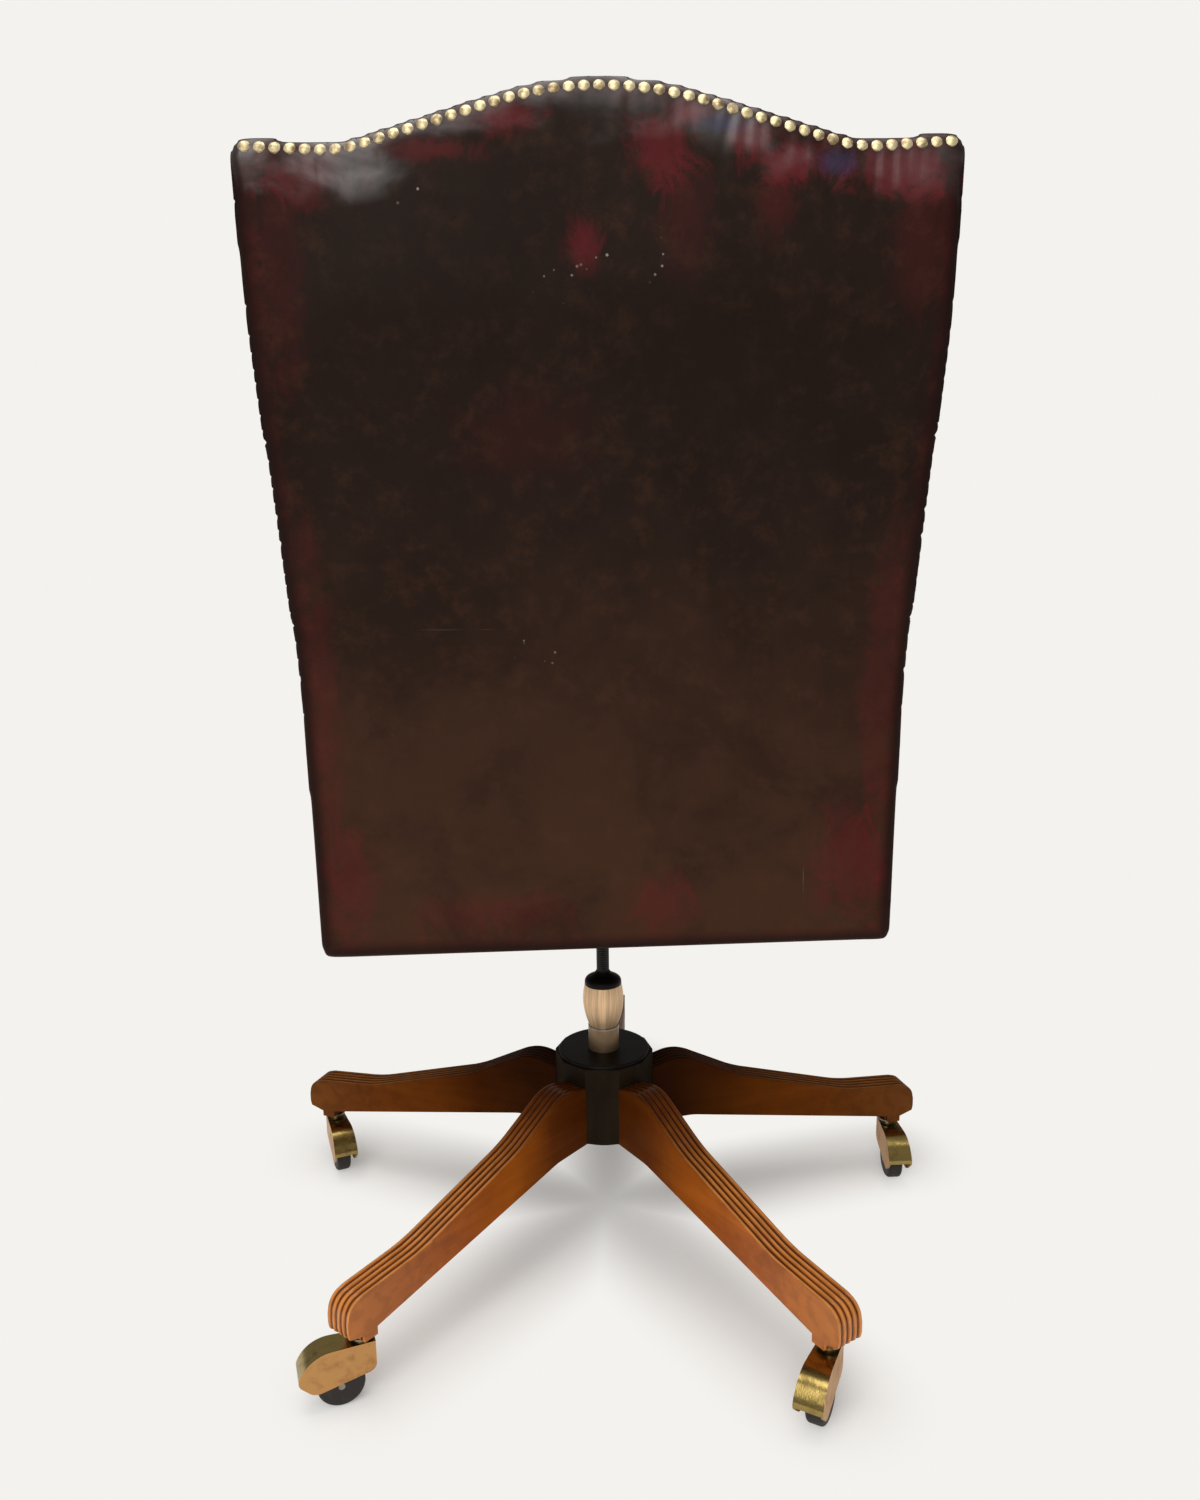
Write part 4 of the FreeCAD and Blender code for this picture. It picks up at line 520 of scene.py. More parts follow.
def lacquered_wood(name, turn, reeded=False, shade=1.0):
    """Lacquered wood with its grain along a direction, painted shade in the grooves between its reeds and
    a painted highlight on their crests.
    """
    own = settings("wood")
    finish = Finish(name)
    across = (3.2, 42.0, 42.0)
    place = finish.place(turn, stretch=across)
    fine_place = finish.place(turn, stretch=tuple(s * 9.0 for s in across))
    band = finish.mottle(place, 1.0, 5.0, 0.6, 0.9)
    pore = finish.mottle(fine_place, 1.0, 3.0)
    cloud = finish.mottle(finish.place(), 9.0, 3.0)
    grain = band * 0.4 + cloud * 0.5 + pore * 0.1
    # The shade share darkens the whole wood: painted shade on the arms away from the camera, a darker
    # stain on the seat rails
    base = finish.blend(scaled(own.deep, shade), scaled(own.light, shade), finish.ease(grain, 0.30, 0.70))
    base = finish.blend(base, scaled(own.deep, 0.6 * shade), finish.ease(pore, 0.62, 0.8) * 0.25)
    coat = 0.0
    if reeded:
        x, y, _ = finish.parts(finish.place(turn))
        lane = finish.add("ShaderNodeMath", {"operation": "FRACT"}, {0: y / own.reed_pitch + 10.5})
        near = lane.least(1.0 - lane)
        inside = 1.0 - finish.ease(abs(y), 0.0146, 0.0154)
        # Painted highlight along the crests of the reeds, brighter towards the tip
        painted_crest_highlight = inside * finish.ease(near, 0.15, 0.45) * finish.ease(x, 0.10, 0.20)
        base = finish.blend(base, scaled(own.reed_highlight, shade), painted_crest_highlight)
        # Painted shade in the grooves between the reeds
        base = finish.blend(base, own.dark_specks_and_shade, (1.0 - finish.ease(near, 0.03, 0.2)) * inside * 0.9)
        # Painted shade on the arms towards the hub, under the seat
        hub_painted_shade = 1.0 - finish.ease(x + cloud * 0.04, 0.09, 0.26)
        base = finish.blend(base, scaled(own.dark_specks_and_shade, shade), hub_painted_shade * 0.8)
        spots = finish.mottle(finish.place(turn, stretch=(60.0, 200.0, 60.0)), 1.0, 4.0)
        base = finish.blend(base, scaled(own.dark_specks_and_shade, shade), inside * finish.ease(spots, 0.45, 0.6) * 0.18)
        # With the painted shade, the darker arms also get less coat on their reeds
        coat = inside * 0.55 * shade * shade
    rough = 0.34 + band * 0.10 + cloud * 0.08
    normal = finish.bumped(pore * 0.5 + band * 0.5, 0.00006)
    return finish.done(base, rough, normal=normal, coat=coat, coat_rough=0.16, specular=0.015)


def raw_wood():
    """Unfinished frame wood."""
    finish = Finish("frame_wood")
    place = finish.place(stretch=(2.0, 30.0, 30.0))
    band = finish.mottle(place, 1.0, 5.0, 0.6, 0.8)
    base = finish.blend(colour(150, 112, 74), colour(188, 152, 110), finish.ease(band, 0.35, 0.68))
    return finish.done(base, 0.62 + band * 0.15, normal=finish.bumped(band, 0.0003))


def hub_wood():
    """Dark stained wood of the hub."""
    finish = Finish("hub_wood")
    place = finish.place(stretch=(40.0, 40.0, 5.0))
    band = finish.mottle(place, 1.0, 5.0, 0.6, 0.5)
    cloud = finish.mottle(finish.place(), 22.0, 4.0)
    stain = finish.ease(band * 0.6 + cloud * 0.4, 0.35, 0.7)
    base = finish.blend(colour(26, 18, 9), colour(40, 29, 17), stain)
    return finish.done(base, 0.5 + cloud * 0.15, normal=finish.bumped(band, 0.0001), specular=0.06)


def hood_brass(name, heading):
    """Castor brass: polished round its band and satin on its two cheeks."""
    own = settings("metal")
    finish = Finish(name)
    facing = finish.add("ShaderNodeTexCoord", output="Normal")
    sideways = finish.add("ShaderNodeVectorMath", {"operation": "DOT_PRODUCT"}, {
        0: facing, 1: (-math.sin(heading), math.cos(heading), 0.0)}, output="Value")
    cheek = finish.ease(abs(sideways), 0.86, 0.94)
    place = finish.place()
    cloud = finish.mottle(place, 55.0, 5.0, 0.65, 0.5)
    scuff = finish.mottle(finish.place(heading, stretch=(90.0, 600.0, 600.0)), 1.0, 2.0)
    tarnish = finish.ease(cloud, 0.45, 0.72)
    band = finish.blend(own.brass, colour(78, 60, 30), tarnish * 0.75)
    side = finish.blend(own.cheek, colour(150, 100, 58), tarnish * 0.55)
    base = finish.blend(band, side, cheek)
    rough = 0.17 + tarnish * 0.14 + cheek * 0.2 + scuff * 0.06
    metal = 1.0 - cheek * 0.25
    normal = finish.bumped(cloud * 0.7 + scuff * 0.3, 0.00025)
    return finish.done(base, rough, metal, normal)


def nail_brass():
    """Old brass nail heads, darker in cloudy patches."""
    own = settings("metal")
    finish = Finish("nail_brass")
    cloud = finish.mottle(finish.place(), 140.0, 3.0)
    base = finish.blend(own.nail, colour(110, 84, 52), finish.ease(cloud, 0.42, 0.66) * 0.8)
    return finish.done(base, 0.34 + cloud * 0.16, 0.6, finish.bumped(cloud, 0.0002))


def nut_brass():
    """Brushed brass of the height nut, with painted reflections in upright bands round it."""
    own = settings("metal")
    finish = Finish("nut_brass")
    x, y, z = finish.parts(finish.place())
    round_way = finish.add("ShaderNodeMath", {"operation": "ARCTAN2"}, {0: y, 1: x})
    angle = finish.add("ShaderNodeCombineXYZ", None, {"X": round_way * 1.9, "Y": z * 3.0, "Z": 0.0})
    band = finish.mottle(angle, 2.4, 3.0)
    fine = finish.mottle(finish.place(stretch=(60.0, 60.0, 900.0)), 1.0, 3.0)
    # Painted reflection: darker upright bands round the nut
    base = finish.blend(own.nut, scaled(own.nut, 0.62), finish.ease(band, 0.38, 0.66))
    rough = 0.34 + band * 0.14 + fine * 0.08
    return finish.done(base, rough, 0.75, finish.bumped(fine, 0.00008))


def worn_metal(name, shade, metal, rough, specular=0.5):
    """Metal or paint with soft smudges and fine scratches."""
    finish = Finish(name)
    cloud = finish.mottle(finish.place(), 34.0, 5.0, 0.6, 0.4)
    scratch = finish.mottle(finish.place(stretch=(180.0, 180.0, 900.0)), 1.0, 2.0)
    base = finish.blend(shade, scaled(shade, 0.55), finish.ease(cloud, 0.4, 0.72) * 0.6)
    normal = finish.bumped(scratch * 0.5 + cloud * 0.5, 0.0001)
    return finish.done(base, rough + cloud * 0.14, metal, normal, specular=specular)


def wheel_rubber():
    """Dark worn wheels with a rubbed tread."""
    finish = Finish("wheel_rubber")
    place = finish.place()
    cloud = finish.mottle(place, 60.0, 5.0)
    grit = finish.mottle(place, 420.0, 2.0)
    base = finish.blend(colour(30, 22, 17), colour(58, 46, 38), finish.ease(cloud, 0.5, 0.75) * 0.6)
    return finish.done(base, 0.5 + grit * 0.2, normal=finish.bumped(grit, 0.0002))


def woven_webbing():
    """Woven jute webbing."""
    finish = Finish("jute_webbing")
    place = finish.place()
    warp, weft = [
        finish.add("ShaderNodeTexWave", {"bands_direction": way},
                   {"Vector": place, "Scale": scale, "Distortion": 0.6})
        for way, scale in (("X", 180.0), ("Y", 140.0))]
    weave = warp * weft
    stripe = finish.mottle(finish.place(stretch=(60.0, 1.0, 1.0)), 1.0, 1.0)
    base = finish.blend(colour(118, 92, 60), colour(172, 144, 102), weave * 0.7 + stripe * 0.3)
    return finish.done(base, 0.85, normal=finish.bumped(weave, 0.0006))


# Making pieces


def alone(piece):
    """Selects one object and makes it active."""
    bpy.ops.object.select_all(action="DESELECT")
    piece.select_set(True)
    bpy.context.view_layer.objects.active = piece
    return piece


def added(name):
    """Names the object that an operator has just made."""
    piece = bpy.context.active_object
    piece.name = name
    piece.data.name = name
    return alone(piece)


def copied(node, name):
    """A merged copy of a CAD node's mesh, as a piece of its own."""
    piece = bpy.data.objects.new(name, NODES[node].data.copy())
    piece.data.materials.clear()
    bpy.context.collection.objects.link(piece)
    alone(piece)
    bpy.ops.object.mode_set(mode="EDIT")
    bpy.ops.mesh.select_all(action="SELECT")
    bpy.ops.mesh.remove_doubles(threshold=MERGE_DISTANCE)
    bpy.ops.mesh.normals_make_consistent(inside=False)
    bpy.ops.object.mode_set(mode="OBJECT")
    return piece


def modify(piece, kind, **values):
    """Adds a modifier to a piece and applies it."""
    alone(piece)
    made = piece.modifiers.new(kind.lower(), kind)
    for name, value in values.items():
        setattr(made, name, value)
    bpy.ops.object.modifier_apply(modifier=made.name)
    return piece


def settled(piece):
    """Puts a piece's place into its mesh."""
    alone(piece)
    bpy.ops.object.transform_apply(location=True, rotation=True, scale=True)
    return piece


def dressed(piece, body, nodes, material, smooth=True):
    """Gives a piece its body, the nodes that it stands for and its finish."""
    alone(piece)
    if smooth:
        bpy.ops.object.shade_smooth()
    piece.data.materials.clear()
    piece.data.materials.append(material)
    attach(piece, body)
    if nodes:
        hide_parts(*nodes)
    return piece


def finish_node(node, material):
    """Gives a CAD node a better material and leaves its mesh alone."""
    for slot in NODES[node].material_slots:
        slot.material = material


def hull_of(node):
    """A search tree over a CAD node's surface."""
    mesh = NODES[node].data
    points = [v.co.copy() for v in mesh.vertices]
    return BVHTree.FromPolygons(points, [tuple(p.vertices) for p in mesh.polygons])


def near_to(*nodes, within=0.004):
    """A test that says whether a place lies on one of these nodes."""
    hulls = [hull_of(node) for node in nodes]
    return lambda place: any(hull.find_nearest(place)[3] < within for hull in hulls)


def islands(node):
    """The middle of each separate solid of a CAD node."""
    mesh = bmesh.new()
    mesh.from_mesh(NODES[node].data)
    bmesh.ops.remove_doubles(mesh, verts=mesh.verts, dist=MERGE_DISTANCE)
    left = set(mesh.verts)
    found = []
    while left:
        stack = [left.pop()]
        group = list(stack)
        while stack:
            for edge in stack.pop().link_edges:
                for vert in edge.verts:
                    if vert in left:
                        left.discard(vert)
                        stack.append(vert)
                        group.append(vert)
        low = [min(v.co[k] for v in group) for k in range(3)]
        high = [max(v.co[k] for v in group) for k in range(3)]
        found.append(Vector([(a + b) / 2 for a, b in zip(low, high)]))
    mesh.free()
    return found


def stuff(piece, swell, pinned):
    """Swells a cover with cloth pressure, holding what the test pins, up to a cap."""
    own = settings("padding")
    modify(piece, "REMESH", mode="VOXEL", voxel_size=own.voxel)
    start = [v.co.copy() for v in piece.data.vertices]
    group = piece.vertex_groups.new(name="held")
    group.add([v.index for v in piece.data.vertices if pinned(v.co)], 1.0, "REPLACE")
    alone(piece)
    cloth = piece.modifiers.new("cover", "CLOTH")
    cloth.settings.quality = 5
    cloth.settings.tension_stiffness = 12.0
    cloth.settings.compression_stiffness = 12.0
    cloth.settings.bending_stiffness = 0.4
    cloth.settings.vertex_group_mass = "held"
    cloth.settings.use_pressure = True
    cloth.settings.uniform_pressure_force = own.pressure
    cloth.settings.effector_weights.gravity = 0.0
    cloth.point_cache.frame_start = 1
    cloth.point_cache.frame_end = own.frames
    scene = bpy.context.scene
    for step in range(1, own.frames + 1):
        scene.frame_set(step)
    bpy.ops.object.modifier_apply(modifier=cloth.name)
    for vert, place in zip(piece.data.vertices, start):
        shift = vert.co - place
        if shift.length > swell:
            vert.co = place + shift.normalized() * swell
    scene.frame_set(1)
    piece.vertex_groups.clear()
    modify(piece, "SMOOTH", factor=SMOOTHING, iterations=4)
    return modify(piece, "SUBSURF", levels=1, render_levels=1)


# Leather


class BackOutline:
    """Where the top and the sides of the outside back run, read from its solid with rays."""

    # How many places are read, how far apart, and from how far off the rays come
    steps = 240
    inset = 0.0015
    rows = 4
    row_depth = 0.003
    slices = 40
    over = 2.0
    beyond = 1.0

    def __init__(self, node):
        self.low, self.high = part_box(node)
        self.tree = hull_of(node)
        self.half_width = self.high[0] - self.inset
        self.tops = [self.top_at((i / self.steps * 2 - 1) * self.half_width)
                     for i in range(self.steps + 1)]
        self.level, high_level = self.low[2] + 0.05, min(self.tops) - 0.03
        self.width, high_width = self.width_at(self.level), self.width_at(high_level)
        self.slope = (high_width - self.width) / (high_level - self.level)

    def top_at(self, across):
        """The highest of a few hits from above, or a place under the top where none hits."""
        places = [Vector((across, self.high[1] - self.row_depth * k, self.over))
                  for k in range(1, self.rows + 1)]
        hits = [self.tree.ray_cast(place, Vector((0, 0, -1)))[0] for place in places]
        return max([hit.z for hit in hits if hit is not None], default=self.high[2] - 0.05)

    def width_at(self, level):
        """The half width at a level."""
        depth = self.high[1] - self.low[1]
        places = [Vector((self.beyond, self.low[1] + depth * k / self.slices, level))
                  for k in range(1, self.slices)]
        hits = [self.tree.ray_cast(place, Vector((-1, 0, 0)))[0] for place in places]
        return max(hit.x for hit in hits if hit is not None)

    def above(self, x, z):
        """The distance to the top, straight up."""
        spot = (x / self.half_width + 1) / 2 * self.steps
        first = max(0, min(int(spot), self.steps - 1))
        top = self.tops[first] + (self.tops[first + 1] - self.tops[first]) * clamped(spot - first)
        return top - z

    def beside(self, x, z):
        """The distance to the nearer side, level."""
        return self.width + (z - self.level) * self.slope - abs(x)


def pleat(across, under, nail, depth, strain):
    """How far the pleat below a nail draws the leather in."""
    swing = max(0.0, noise.noise(Vector((nail.x * 61.0, 3.3, 0.0))) + 0.5)
    length = PLEAT_SHORTEST + PLEAT_SPREAD * swing
    lean = across - under * PLEAT_LEAN * noise.noise(Vector((nail.x * 47.0, 8.1, 0.0)))
    form = math.exp(-(lean / PLEAT_WIDTH) ** 2 - (under / length) ** 2)
    return depth * swing * strain * form * min(1.0, under / PLEAT_START)


class CHAIR_OT_outside_back(bpy.types.Operator):
    """Draw the leather over the outside of the back, with its puckers at the nails"""

    bl_idname = "chair.outside_back"
    bl_label = "Outside back"

    def execute(self, context):
        own = settings("leather")
        outline = BackOutline("outside_back")
        nails = islands("back_nails")
        piece = copied("outside_back", "outside_back_leather")
        modify(piece, "REMESH", mode="VOXEL", voxel_size=own.voxel)
        modify(piece, "SMOOTH", factor=SMOOTHING, iterations=16)
        mesh = piece.data
        normals = [v.normal.copy() for v in mesh.vertices]
        bands = {name: [0.0] * len(normals) for name in BACK_BANDS}
        for i, vert in enumerate(mesh.vertices):
            x, z = vert.co.x, vert.co.z
            above, under = outline.above(x, z), z - outline.low[2]
            self.swell(own, vert, normals[i], above, under)
            if normals[i].y < FACE_TILT:
                continue
            side = max(0.0, min(outline.beside(x, z), under))
            gap = max(0.0, min(side, above))
            bands["edge"][i] = max(0.0, 1 - gap / EDGE_REACH)
            bands["rim"][i] = max(0.0, 1 - side / RIM_REACH)
            bands["crest"][i] = max(0.0, 1 - max(0.0, above) / CREST_REACH)
            drop = own.ease_depth * max(0.0, 1 - side / own.ease_reach) ** 2 * clamped(above / CREST_HOLD)
            hollow, hollow_down, hollow_wide = HOLLOW
            drop += hollow * math.exp(-((above - hollow_down) / hollow_wide) ** 2)
            wave = sum(noise.noise(Vector((x * wide, at, z * tall))) * rise
                       for wide, at, tall, rise in WAVES)
            pull = 0.0
            if above < PLEAT_DROP:
                shadow, pull = self.nailed(own, x, z, nails)
                bands["nail"][i] = shadow
            vert.co -= normals[i] * (drop + pull - wave * min(1.0, gap / EDGE_REACH))
        for name, values in bands.items():
            mesh.attributes.new(name, "FLOAT", "POINT").data.foreach_set("value", values)
        mesh.update()
        dressed(piece, "seat", ["outside_back"], back_leather())
        return {"FINISHED"}

    def swell(self, own, vert, normal, above, under):
        """Lifts the roll along the top, stands the leather out and lets the hem sag."""
        x = vert.co.x
        near_top = clamped(1 - above / own.roll_reach)
        vert.co.z += own.roll_lift * near_top * near_top * (3 - 2 * near_top)
        vert.co += normal * own.fullness
        near_hem = clamped(1 - under / HEM_REACH)
        vert.co.z -= own.hem_sag * near_hem * near_hem * clamped(0.5 + x / HEM_SPAN)

    def nailed(self, own, x, z, nails):
        """The shadow of the nearest nail, and how far the pleats draw the leather in."""
        strain = MIDDLE_STRAIN + (1 - MIDDLE_STRAIN) * clamped((abs(x) - STRAIN_FROM) / STRAIN_OVER)
        shadow, pull = 0.0, 0.0
        for nail in nails:
            across, under = x - nail.x, nail.z - z
            if abs(across) > PLEAT_ASIDE:
                continue
            near = across * across + under * under
            shadow = max(shadow, math.exp(-near / NAIL_SHADOW ** 2))
            if under > 0:
                pull += pleat(across, under, nail, own.pucker, strain)
        return shadow, pull


class CHAIR_OT_edge_leather(bpy.types.Operator):
    """Wrap the leather borders round the back and seat frames"""

    bl_idname = "chair.edge_leather"
    bl_label = "Leather borders"

    def execute(self, context):
        own = settings("leather")
        for node in ("back_border", "seat_border"):
            piece = copied(node, node + "_leather")
            modify(piece, "REMESH", mode="VOXEL", voxel_size=own.border_voxel)
            modify(piece, "SMOOTH", factor=SMOOTHING, iterations=6)
            dressed(piece, "seat", [node], PLAIN_LEATHER)
        return {"FINISHED"}


class CHAIR_OT_inside_back(bpy.types.Operator):
    """Stuff the inside back that the sitter leans on"""

    bl_idname = "chair.inside_back"
    bl_label = "Inside back"

    def execute(self, context):
        piece = copied("inside_back", "inside_back_cushion")
        stuff(piece, settings("padding").back_swell, near_to("crest_rail", "stile_left", "stile_right"))
        dressed(piece, "seat", ["inside_back"], PLAIN_LEATHER)
        return {"FINISHED"}


class CHAIR_OT_seat_cushion(bpy.types.Operator):
    """Stuff the seat"""

    bl_idname = "chair.seat_cushion"
    bl_label = "Seat cushion"

    def execute(self, context):
        own = settings("padding")
        low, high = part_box("seat_cushion")
        piece = copied("seat_cushion", "seat_cushion_cover")
        stuff(piece, own.seat_swell, lambda place: place.z < low[2] + 0.004)
        deck = self.deck(own, low, high)
        alone(piece)
        deck.select_set(True)
        bpy.ops.object.join()
        dressed(piece, "seat", ["seat_cushion"], PLAIN_LEATHER)
        return {"FINISHED"}

    def deck(self, own, low, high):
        """A thin leather deck that spreads from under the cushion over the rails."""
        deck = copied("seat_cushion", "seat_deck")
        bottom = low[2] + DECK_GAP
        for vert in deck.data.vertices:
            for axis in (0, 1):
                middle, size = (low[axis] + high[axis]) / 2, high[axis] - low[axis]
                vert.co[axis] = middle + (vert.co[axis] - middle) * (1 + 2 * own.deck_reach / size)
            vert.co.z = bottom + (vert.co.z - low[2]) / (high[2] - low[2]) * own.deck_thick
        return deck


class CHAIR_OT_arm_pads(bpy.types.Operator):
    """Stuff the two armrest pads"""

    bl_idname = "chair.arm_pads"
    bl_label = "Armrest pads"

    def execute(self, context):
        for side in ("left", "right"):
            piece = copied("arm_pad_" + side, "arm_pad_cover_" + side)
            stuff(piece, settings("padding").arm_swell, near_to("arm_frame_" + side, within=0.002))
            dressed(piece, "seat", ["arm_pad_" + side], PLAIN_LEATHER)
        return {"FINISHED"}


class CHAIR_OT_webbing(bpy.types.Operator):
    """Stretch the jute webbing across the seat frame"""

    bl_idname = "chair.webbing"
    bl_label = "Webbing"

    def execute(self, context):
        low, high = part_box("seat_webbing")
        straps = []
        for number, centre in enumerate(sorted(islands("seat_webbing"), key=lambda c: c.x), 1):
            bpy.ops.object.select_all(action="DESELECT")
            bpy.ops.mesh.primitive_cube_add(size=1.0, location=(centre.x, centre.y, centre.z))
            strap = added("webbing_strap_%d" % number)
            strap.scale = (STRAP_WIDTH, high[1] - low[1], high[2] - low[2] - STRAP_GAP)
            settled(strap)
            bpy.ops.object.mode_set(mode="EDIT")
            bpy.ops.mesh.select_all(action="SELECT")
            bpy.ops.mesh.subdivide(number_cuts=12)
            bpy.ops.object.mode_set(mode="OBJECT")
            modify(strap, "BEVEL", width=0.0004, segments=2, limit_method="ANGLE")
            straps.append(strap)
        for strap in straps:
            strap.select_set(True)
        bpy.context.view_layer.objects.active = straps[0]
        bpy.ops.object.join()
        piece = added("jute_webbing")
        dressed(piece, "seat", ["seat_webbing"], woven_webbing(), smooth=False)
        return {"FINISHED"}


# Wood and metal


class CHAIR_OT_wood(bpy.types.Operator):
    """Finish the wooden pieces"""

    bl_idname = "chair.wood"
    bl_label = "Wood"

    def execute(self, context):
        # Painted shade: the arms away from the camera get a darker copy of the wood
        for i, shade in enumerate(ARM_PAINTED_SHADES):
            name = "arm_wood_%d" % (i + 1)
            finish_node("arm_%d" % (i + 1), lacquered_wood(name, arm_turn(i), True, shade))
        for side, splay in (("left", ARMREST_SPLAY), ("right", -ARMREST_SPLAY)):
            material = lacquered_wood("armrest_wood_" + side, math.radians(90 + splay))
            finish_node("arm_frame_" + side, material)
        frame_wood = raw_wood()
        for node in ("cross_bearers", "stile_left", "stile_right", "crest_rail"):
            finish_node(node, frame_wood)
        rail_wood = lacquered_wood("rail_wood", math.radians(90), shade=RAIL_SHADE)
        for side in ("front", "back", "left", "right"):
            finish_node("seat_rail_" + side, rail_wood)
        finish_node("hub_core", hub_wood())
        return {"FINISHED"}


class CHAIR_OT_metal(bpy.types.Operator):
    """Finish the brass, steel and black metal pieces and the wheels"""

    bl_idname = "chair.metal"
    bl_label = "Metal"

    def execute(self, context):
        own = settings("metal")
        for i, heading in enumerate(CASTOR_HEADINGS, 1):
            finish_node("castor_hood_%d" % i, hood_brass("hood_brass_%d" % i, heading))
        steel = worn_metal("bright_steel", colour(150, 144, 134), 1.0, 0.3)
        column = worn_metal("column_steel", own.steel, 0.85, 0.36)
        black = worn_metal("black_metal", colour(13, 9, 7), 0.0, 0.4, specular=0.15)
        knob = worn_metal("knob_plastic", colour(24, 23, 22), 0.0, 0.55)
        rubber = wheel_rubber()
        for i in range(1, ARM_COUNT + 1):
            finish_node("castor_pins_%d" % i, steel)
            finish_node("castor_wheel_%d" % i, rubber)
        for node in ("thrust_washer", "guide_bush", "spider_screws", "castor_sockets", "stop_collar",
                     "swivel_bush", "tilt_pin", "tension_bolt", "plate_screws"):
            finish_node(node, steel)
        spring = copied("tilt_spring", "tilt_spring_coil")
        dressed(spring, "seat", ["tilt_spring"], steel)
        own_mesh(spring)
        finish_node("column_tube", column)
        for node in ("hub_cap", "spider_plate", "nut_cap", "tilt_housing", "spring_cup", "seat_plate"):
            finish_node(node, black)
        finish_node("tension_knob", knob)
        finish_node("height_nut", nut_brass())
        finish_node("back_nails", nail_brass())
        return {"FINISHED"}


class CHAIR_OT_spindle_thread(bpy.types.Operator):
    """Cut the thread on the spindle"""

    bl_idname = "chair.spindle_thread"
    bl_label = "Spindle thread"

    def execute(self, context):
        pitch = settings("metal").thread
        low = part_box("nut_cap")[1][2] - THREAD_INTO_NUT
        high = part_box("tilt_housing")[0][2] - THREAD_BELOW_HOUSING
        turns = int((high - low) / pitch)
        bpy.ops.object.select_all(action="DESELECT")
        start = (SPINDLE_RADIUS, 0, low)
        bpy.ops.mesh.primitive_circle_add(vertices=6, radius=pitch * 0.42, location=start)
        piece = added("spindle_thread")
        piece.rotation_euler = (math.pi / 2, 0, 0)
        piece.scale = (0.5, 1.0, 1.0)
        settled(piece)
        modify(piece, "SCREW", axis="Z", steps=28, render_steps=28, iterations=turns,
               screw_offset=pitch, angle=math.tau, use_merge_vertices=False, use_smooth_shade=True)
        alone(piece)
        bpy.ops.object.mode_set(mode="EDIT")
        bpy.ops.mesh.select_all(action="SELECT")
        bpy.ops.mesh.remove_doubles(threshold=MERGE_DISTANCE)
        bpy.ops.mesh.select_all(action="DESELECT")
        bpy.ops.mesh.select_non_manifold()
        bpy.ops.mesh.fill()
        bpy.ops.mesh.select_all(action="SELECT")
        bpy.ops.mesh.normals_make_consistent(inside=False)
        bpy.ops.object.mode_set(mode="OBJECT")
        dressed(piece, "column", [], PLAIN_BLACK)
        return {"FINISHED"}


# Studio


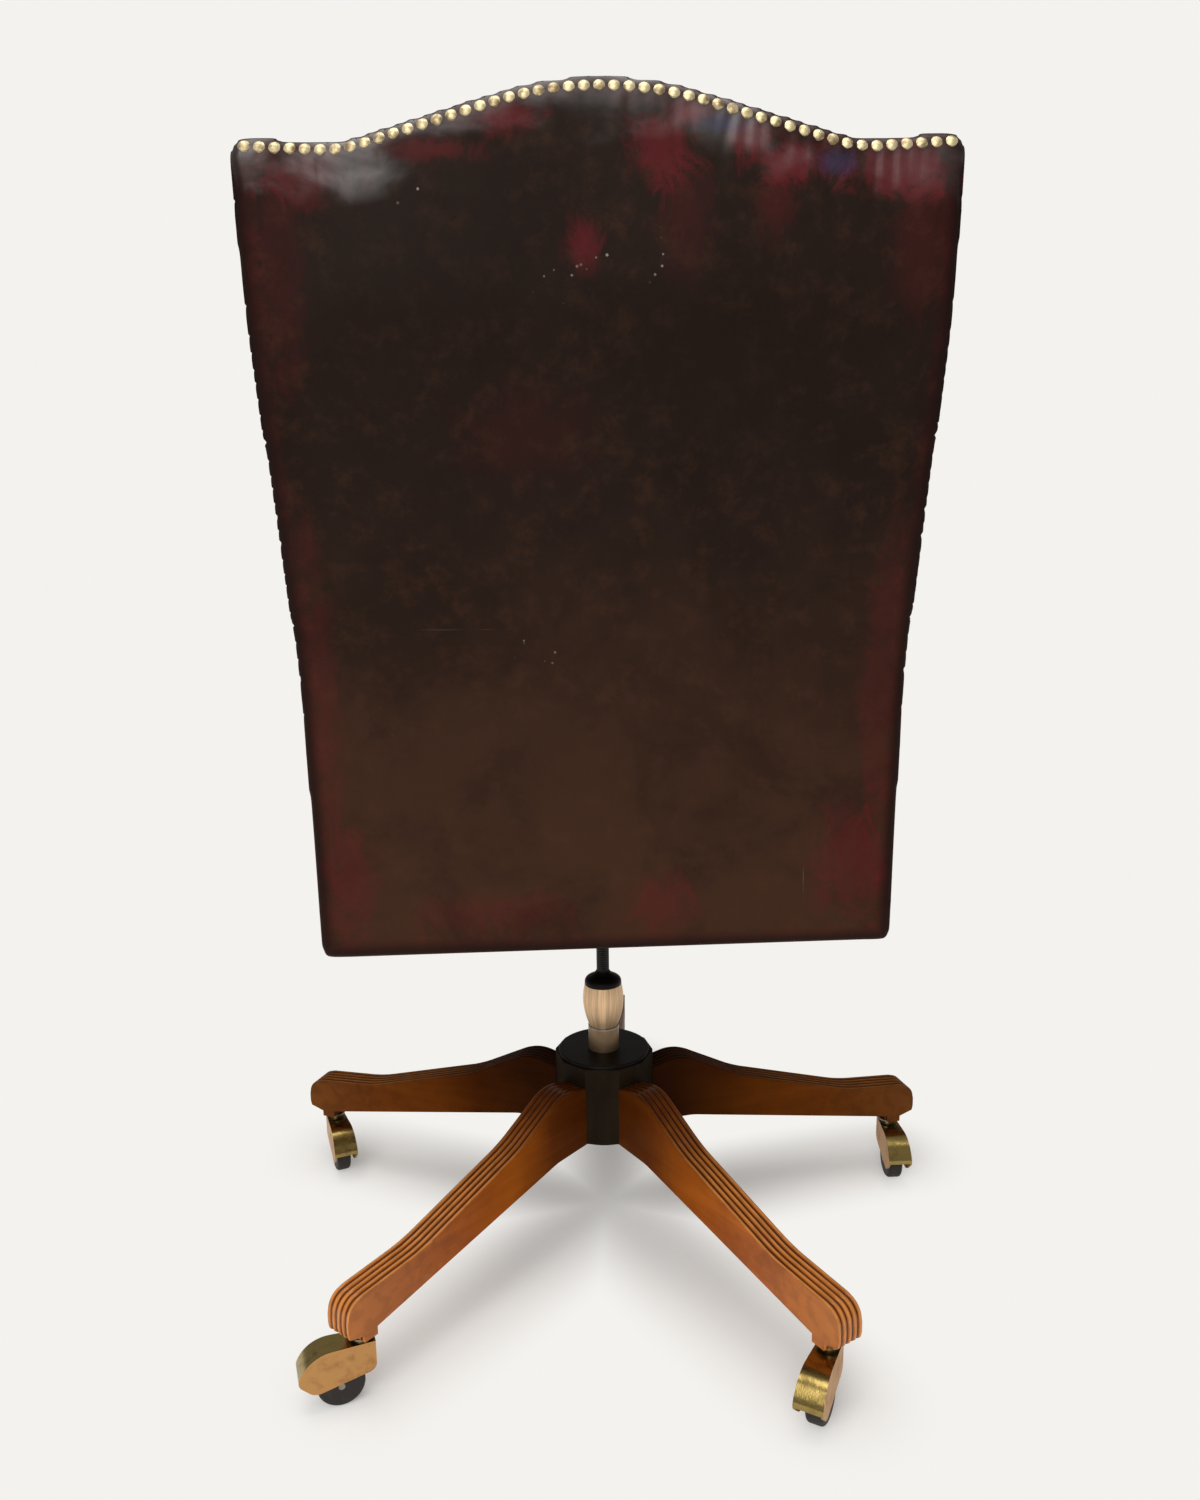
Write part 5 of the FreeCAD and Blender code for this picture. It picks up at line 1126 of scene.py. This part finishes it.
class CHAIR_OT_studio(bpy.types.Operator):
    """Set up the floor, the soft lamps and the camera behind the chair"""

    bl_idname = "chair.studio"
    bl_label = "Studio"

    def execute(self, context):
        own = settings("stage")
        scene = context.scene
        bpy.ops.object.select_all(action="DESELECT")
        bpy.ops.mesh.primitive_circle_add(vertices=96, radius=6.0, fill_type="NGON", location=(0, 0, 0))
        floor = added("studio_floor")
        floor.data.materials.append(self.paper_finish(own))
        self.lamp("key_lamp", (0.7, 2.6, 2.3), (0, 0.1, 0.5), 2.4, own.key_power)
        self.lamp("top_lamp", (0.2, 0.1, 3.2), (0, 0, 0.3), 2.2, own.top_power)
        scene.world = self.room(own)
        self.camera(own)
        scene.view_settings.view_transform = "Standard"
        return {"FINISHED"}

    def room(self, own):
        """Soft light from all round, which the camera itself sees as paper."""
        world = bpy.data.worlds.new("studio_light")
        world.use_nodes = True
        tree = world.node_tree
        tree.nodes.clear()
        rays = tree.nodes.new("ShaderNodeLightPath")
        soft = tree.nodes.new("ShaderNodeBackground")
        soft.inputs["Color"].default_value = (*LAMP_COLOUR, 1.0)
        soft.inputs["Strength"].default_value = own.room_light
        seen = tree.nodes.new("ShaderNodeBackground")
        seen.inputs["Color"].default_value = (*own.paper, 1.0)
        seen.inputs["Strength"].default_value = 1.0
        either = tree.nodes.new("ShaderNodeMixShader")
        out = tree.nodes.new("ShaderNodeOutputWorld")
        tree.links.new(rays.outputs["Is Camera Ray"], either.inputs[0])
        tree.links.new(soft.outputs[0], either.inputs[1])
        tree.links.new(seen.outputs[0], either.inputs[2])
        tree.links.new(either.outputs[0], out.inputs["Surface"])
        return world

    def paper_finish(self, own):
        """Pale paper that keeps the chair's shadow and fades into the backdrop further out."""
        finish = Finish("studio_paper")
        gaps = []
        for i in range(ARM_COUNT):
            along, across, _ = finish.parts(finish.place(arm_turn(i), ARM_LINE_START))
            past = (along - ARM_LINE).most(0.0 - along).most(0.0)
            gaps.append((past * past + across * across) ** 0.5)
        away = gaps[0]
        for gap in gaps[1:]:
            away = away.least(gap)
        camera = finish.add("ShaderNodeLightPath", output="Is Camera Ray")
        lit = finish.add("ShaderNodeBsdfDiffuse", None, {"Color": (own.paper_shade,) * 3})
        glow = finish.add("ShaderNodeEmission", None, {"Color": own.paper, "Strength": own.paper_glow})
        near = finish.add("ShaderNodeAddShader", None, {0: lit, 1: glow})
        plain = finish.add("ShaderNodeEmission", None, {"Color": own.paper, "Strength": 1.0})
        far = finish.ease(away, 0.0, SHADOW_REACH)
        mixed = finish.add("ShaderNodeMixShader", None, {0: far * camera, 1: near, 2: plain})
        finish.add("ShaderNodeOutputMaterial", None, {"Surface": mixed})
        return finish.material

    def lamp(self, name, place, target, size, power):
        """A square soft lamp that looks at a target."""
        turn = (Vector(target) - Vector(place)).to_track_quat("-Z", "Y").to_euler()
        bpy.ops.object.select_all(action="DESELECT")
        bpy.ops.object.light_add(type="AREA", location=place, rotation=turn)
        lamp = bpy.context.active_object
        lamp.name = name
        lamp.data.size = size
        lamp.data.energy = power
        lamp.data.color = LAMP_COLOUR

    def camera(self, own):
        """The camera, level distance away from the spindle and looking down at the chair."""
        place = Vector((math.cos(own.bearing), math.sin(own.bearing), 0)) * own.distance
        place.z = own.height
        level = Vector((-place.x, -place.y, 0)).normalized()
        sight = level * math.cos(own.pitch) - Vector((0, 0, 1)) * math.sin(own.pitch)
        turn = sight.to_track_quat("-Z", "Y").to_matrix() @ Matrix.Rotation(own.roll, 3, "Z")
        bpy.ops.object.select_all(action="DESELECT")
        bpy.ops.object.camera_add(location=place, rotation=turn.to_euler())
        camera = bpy.context.active_object
        camera.name = "photo_camera"
        camera.data.sensor_fit = "VERTICAL"
        camera.data.sensor_height = 36.0
        camera.data.lens = own.lens
        camera.data.clip_start = 0.02
        bpy.context.scene.camera = camera


OPERATORS = (
    CHAIR_OT_outside_back,
    CHAIR_OT_edge_leather,
    CHAIR_OT_inside_back,
    CHAIR_OT_seat_cushion,
    CHAIR_OT_arm_pads,
    CHAIR_OT_webbing,
    CHAIR_OT_wood,
    CHAIR_OT_metal,
    CHAIR_OT_spindle_thread,
    CHAIR_OT_studio,
)

GROUPS = (
    ("leather", ChairLeather),
    ("padding", ChairPadding),
    ("wood", ChairWood),
    ("metal", ChairMetal),
    ("stage", ChairStage),
)


class CHAIR_PT_panel(bpy.types.Panel):
    """The chair's pieces and their sizes and colours"""

    bl_idname = "CHAIR_PT_panel"
    bl_label = "Desk chair"
    bl_space_type = "VIEW_3D"
    bl_region_type = "UI"
    bl_category = "Desk chair"

    def draw(self, context):
        layout = self.layout
        for name, group in GROUPS:
            box = layout.box()
            box.label(text=name.capitalize())
            for field in group.__annotations__:
                box.prop(settings(name), field)
        for operator in OPERATORS:
            layout.operator(operator.bl_idname)


def register():
    for name, group in GROUPS:
        bpy.utils.register_class(group)
        setattr(bpy.types.Scene, "chair_" + name, PointerProperty(type=group))
    for operator in OPERATORS:
        bpy.utils.register_class(operator)
    bpy.utils.register_class(CHAIR_PT_panel)


def unregister():
    bpy.utils.unregister_class(CHAIR_PT_panel)
    for operator in reversed(OPERATORS):
        bpy.utils.unregister_class(operator)
    for name, group in reversed(GROUPS):
        delattr(bpy.types.Scene, "chair_" + name)
        bpy.utils.unregister_class(group)


def main():
    register()
    bpy.ops.chair.outside_back()
    bpy.ops.chair.edge_leather()
    bpy.ops.chair.inside_back()
    bpy.ops.chair.seat_cushion()
    bpy.ops.chair.arm_pads()
    bpy.ops.chair.webbing()
    bpy.ops.chair.wood()
    bpy.ops.chair.metal()
    bpy.ops.chair.spindle_thread()
    bpy.ops.chair.studio()


if __name__ == "__main__":
    main()
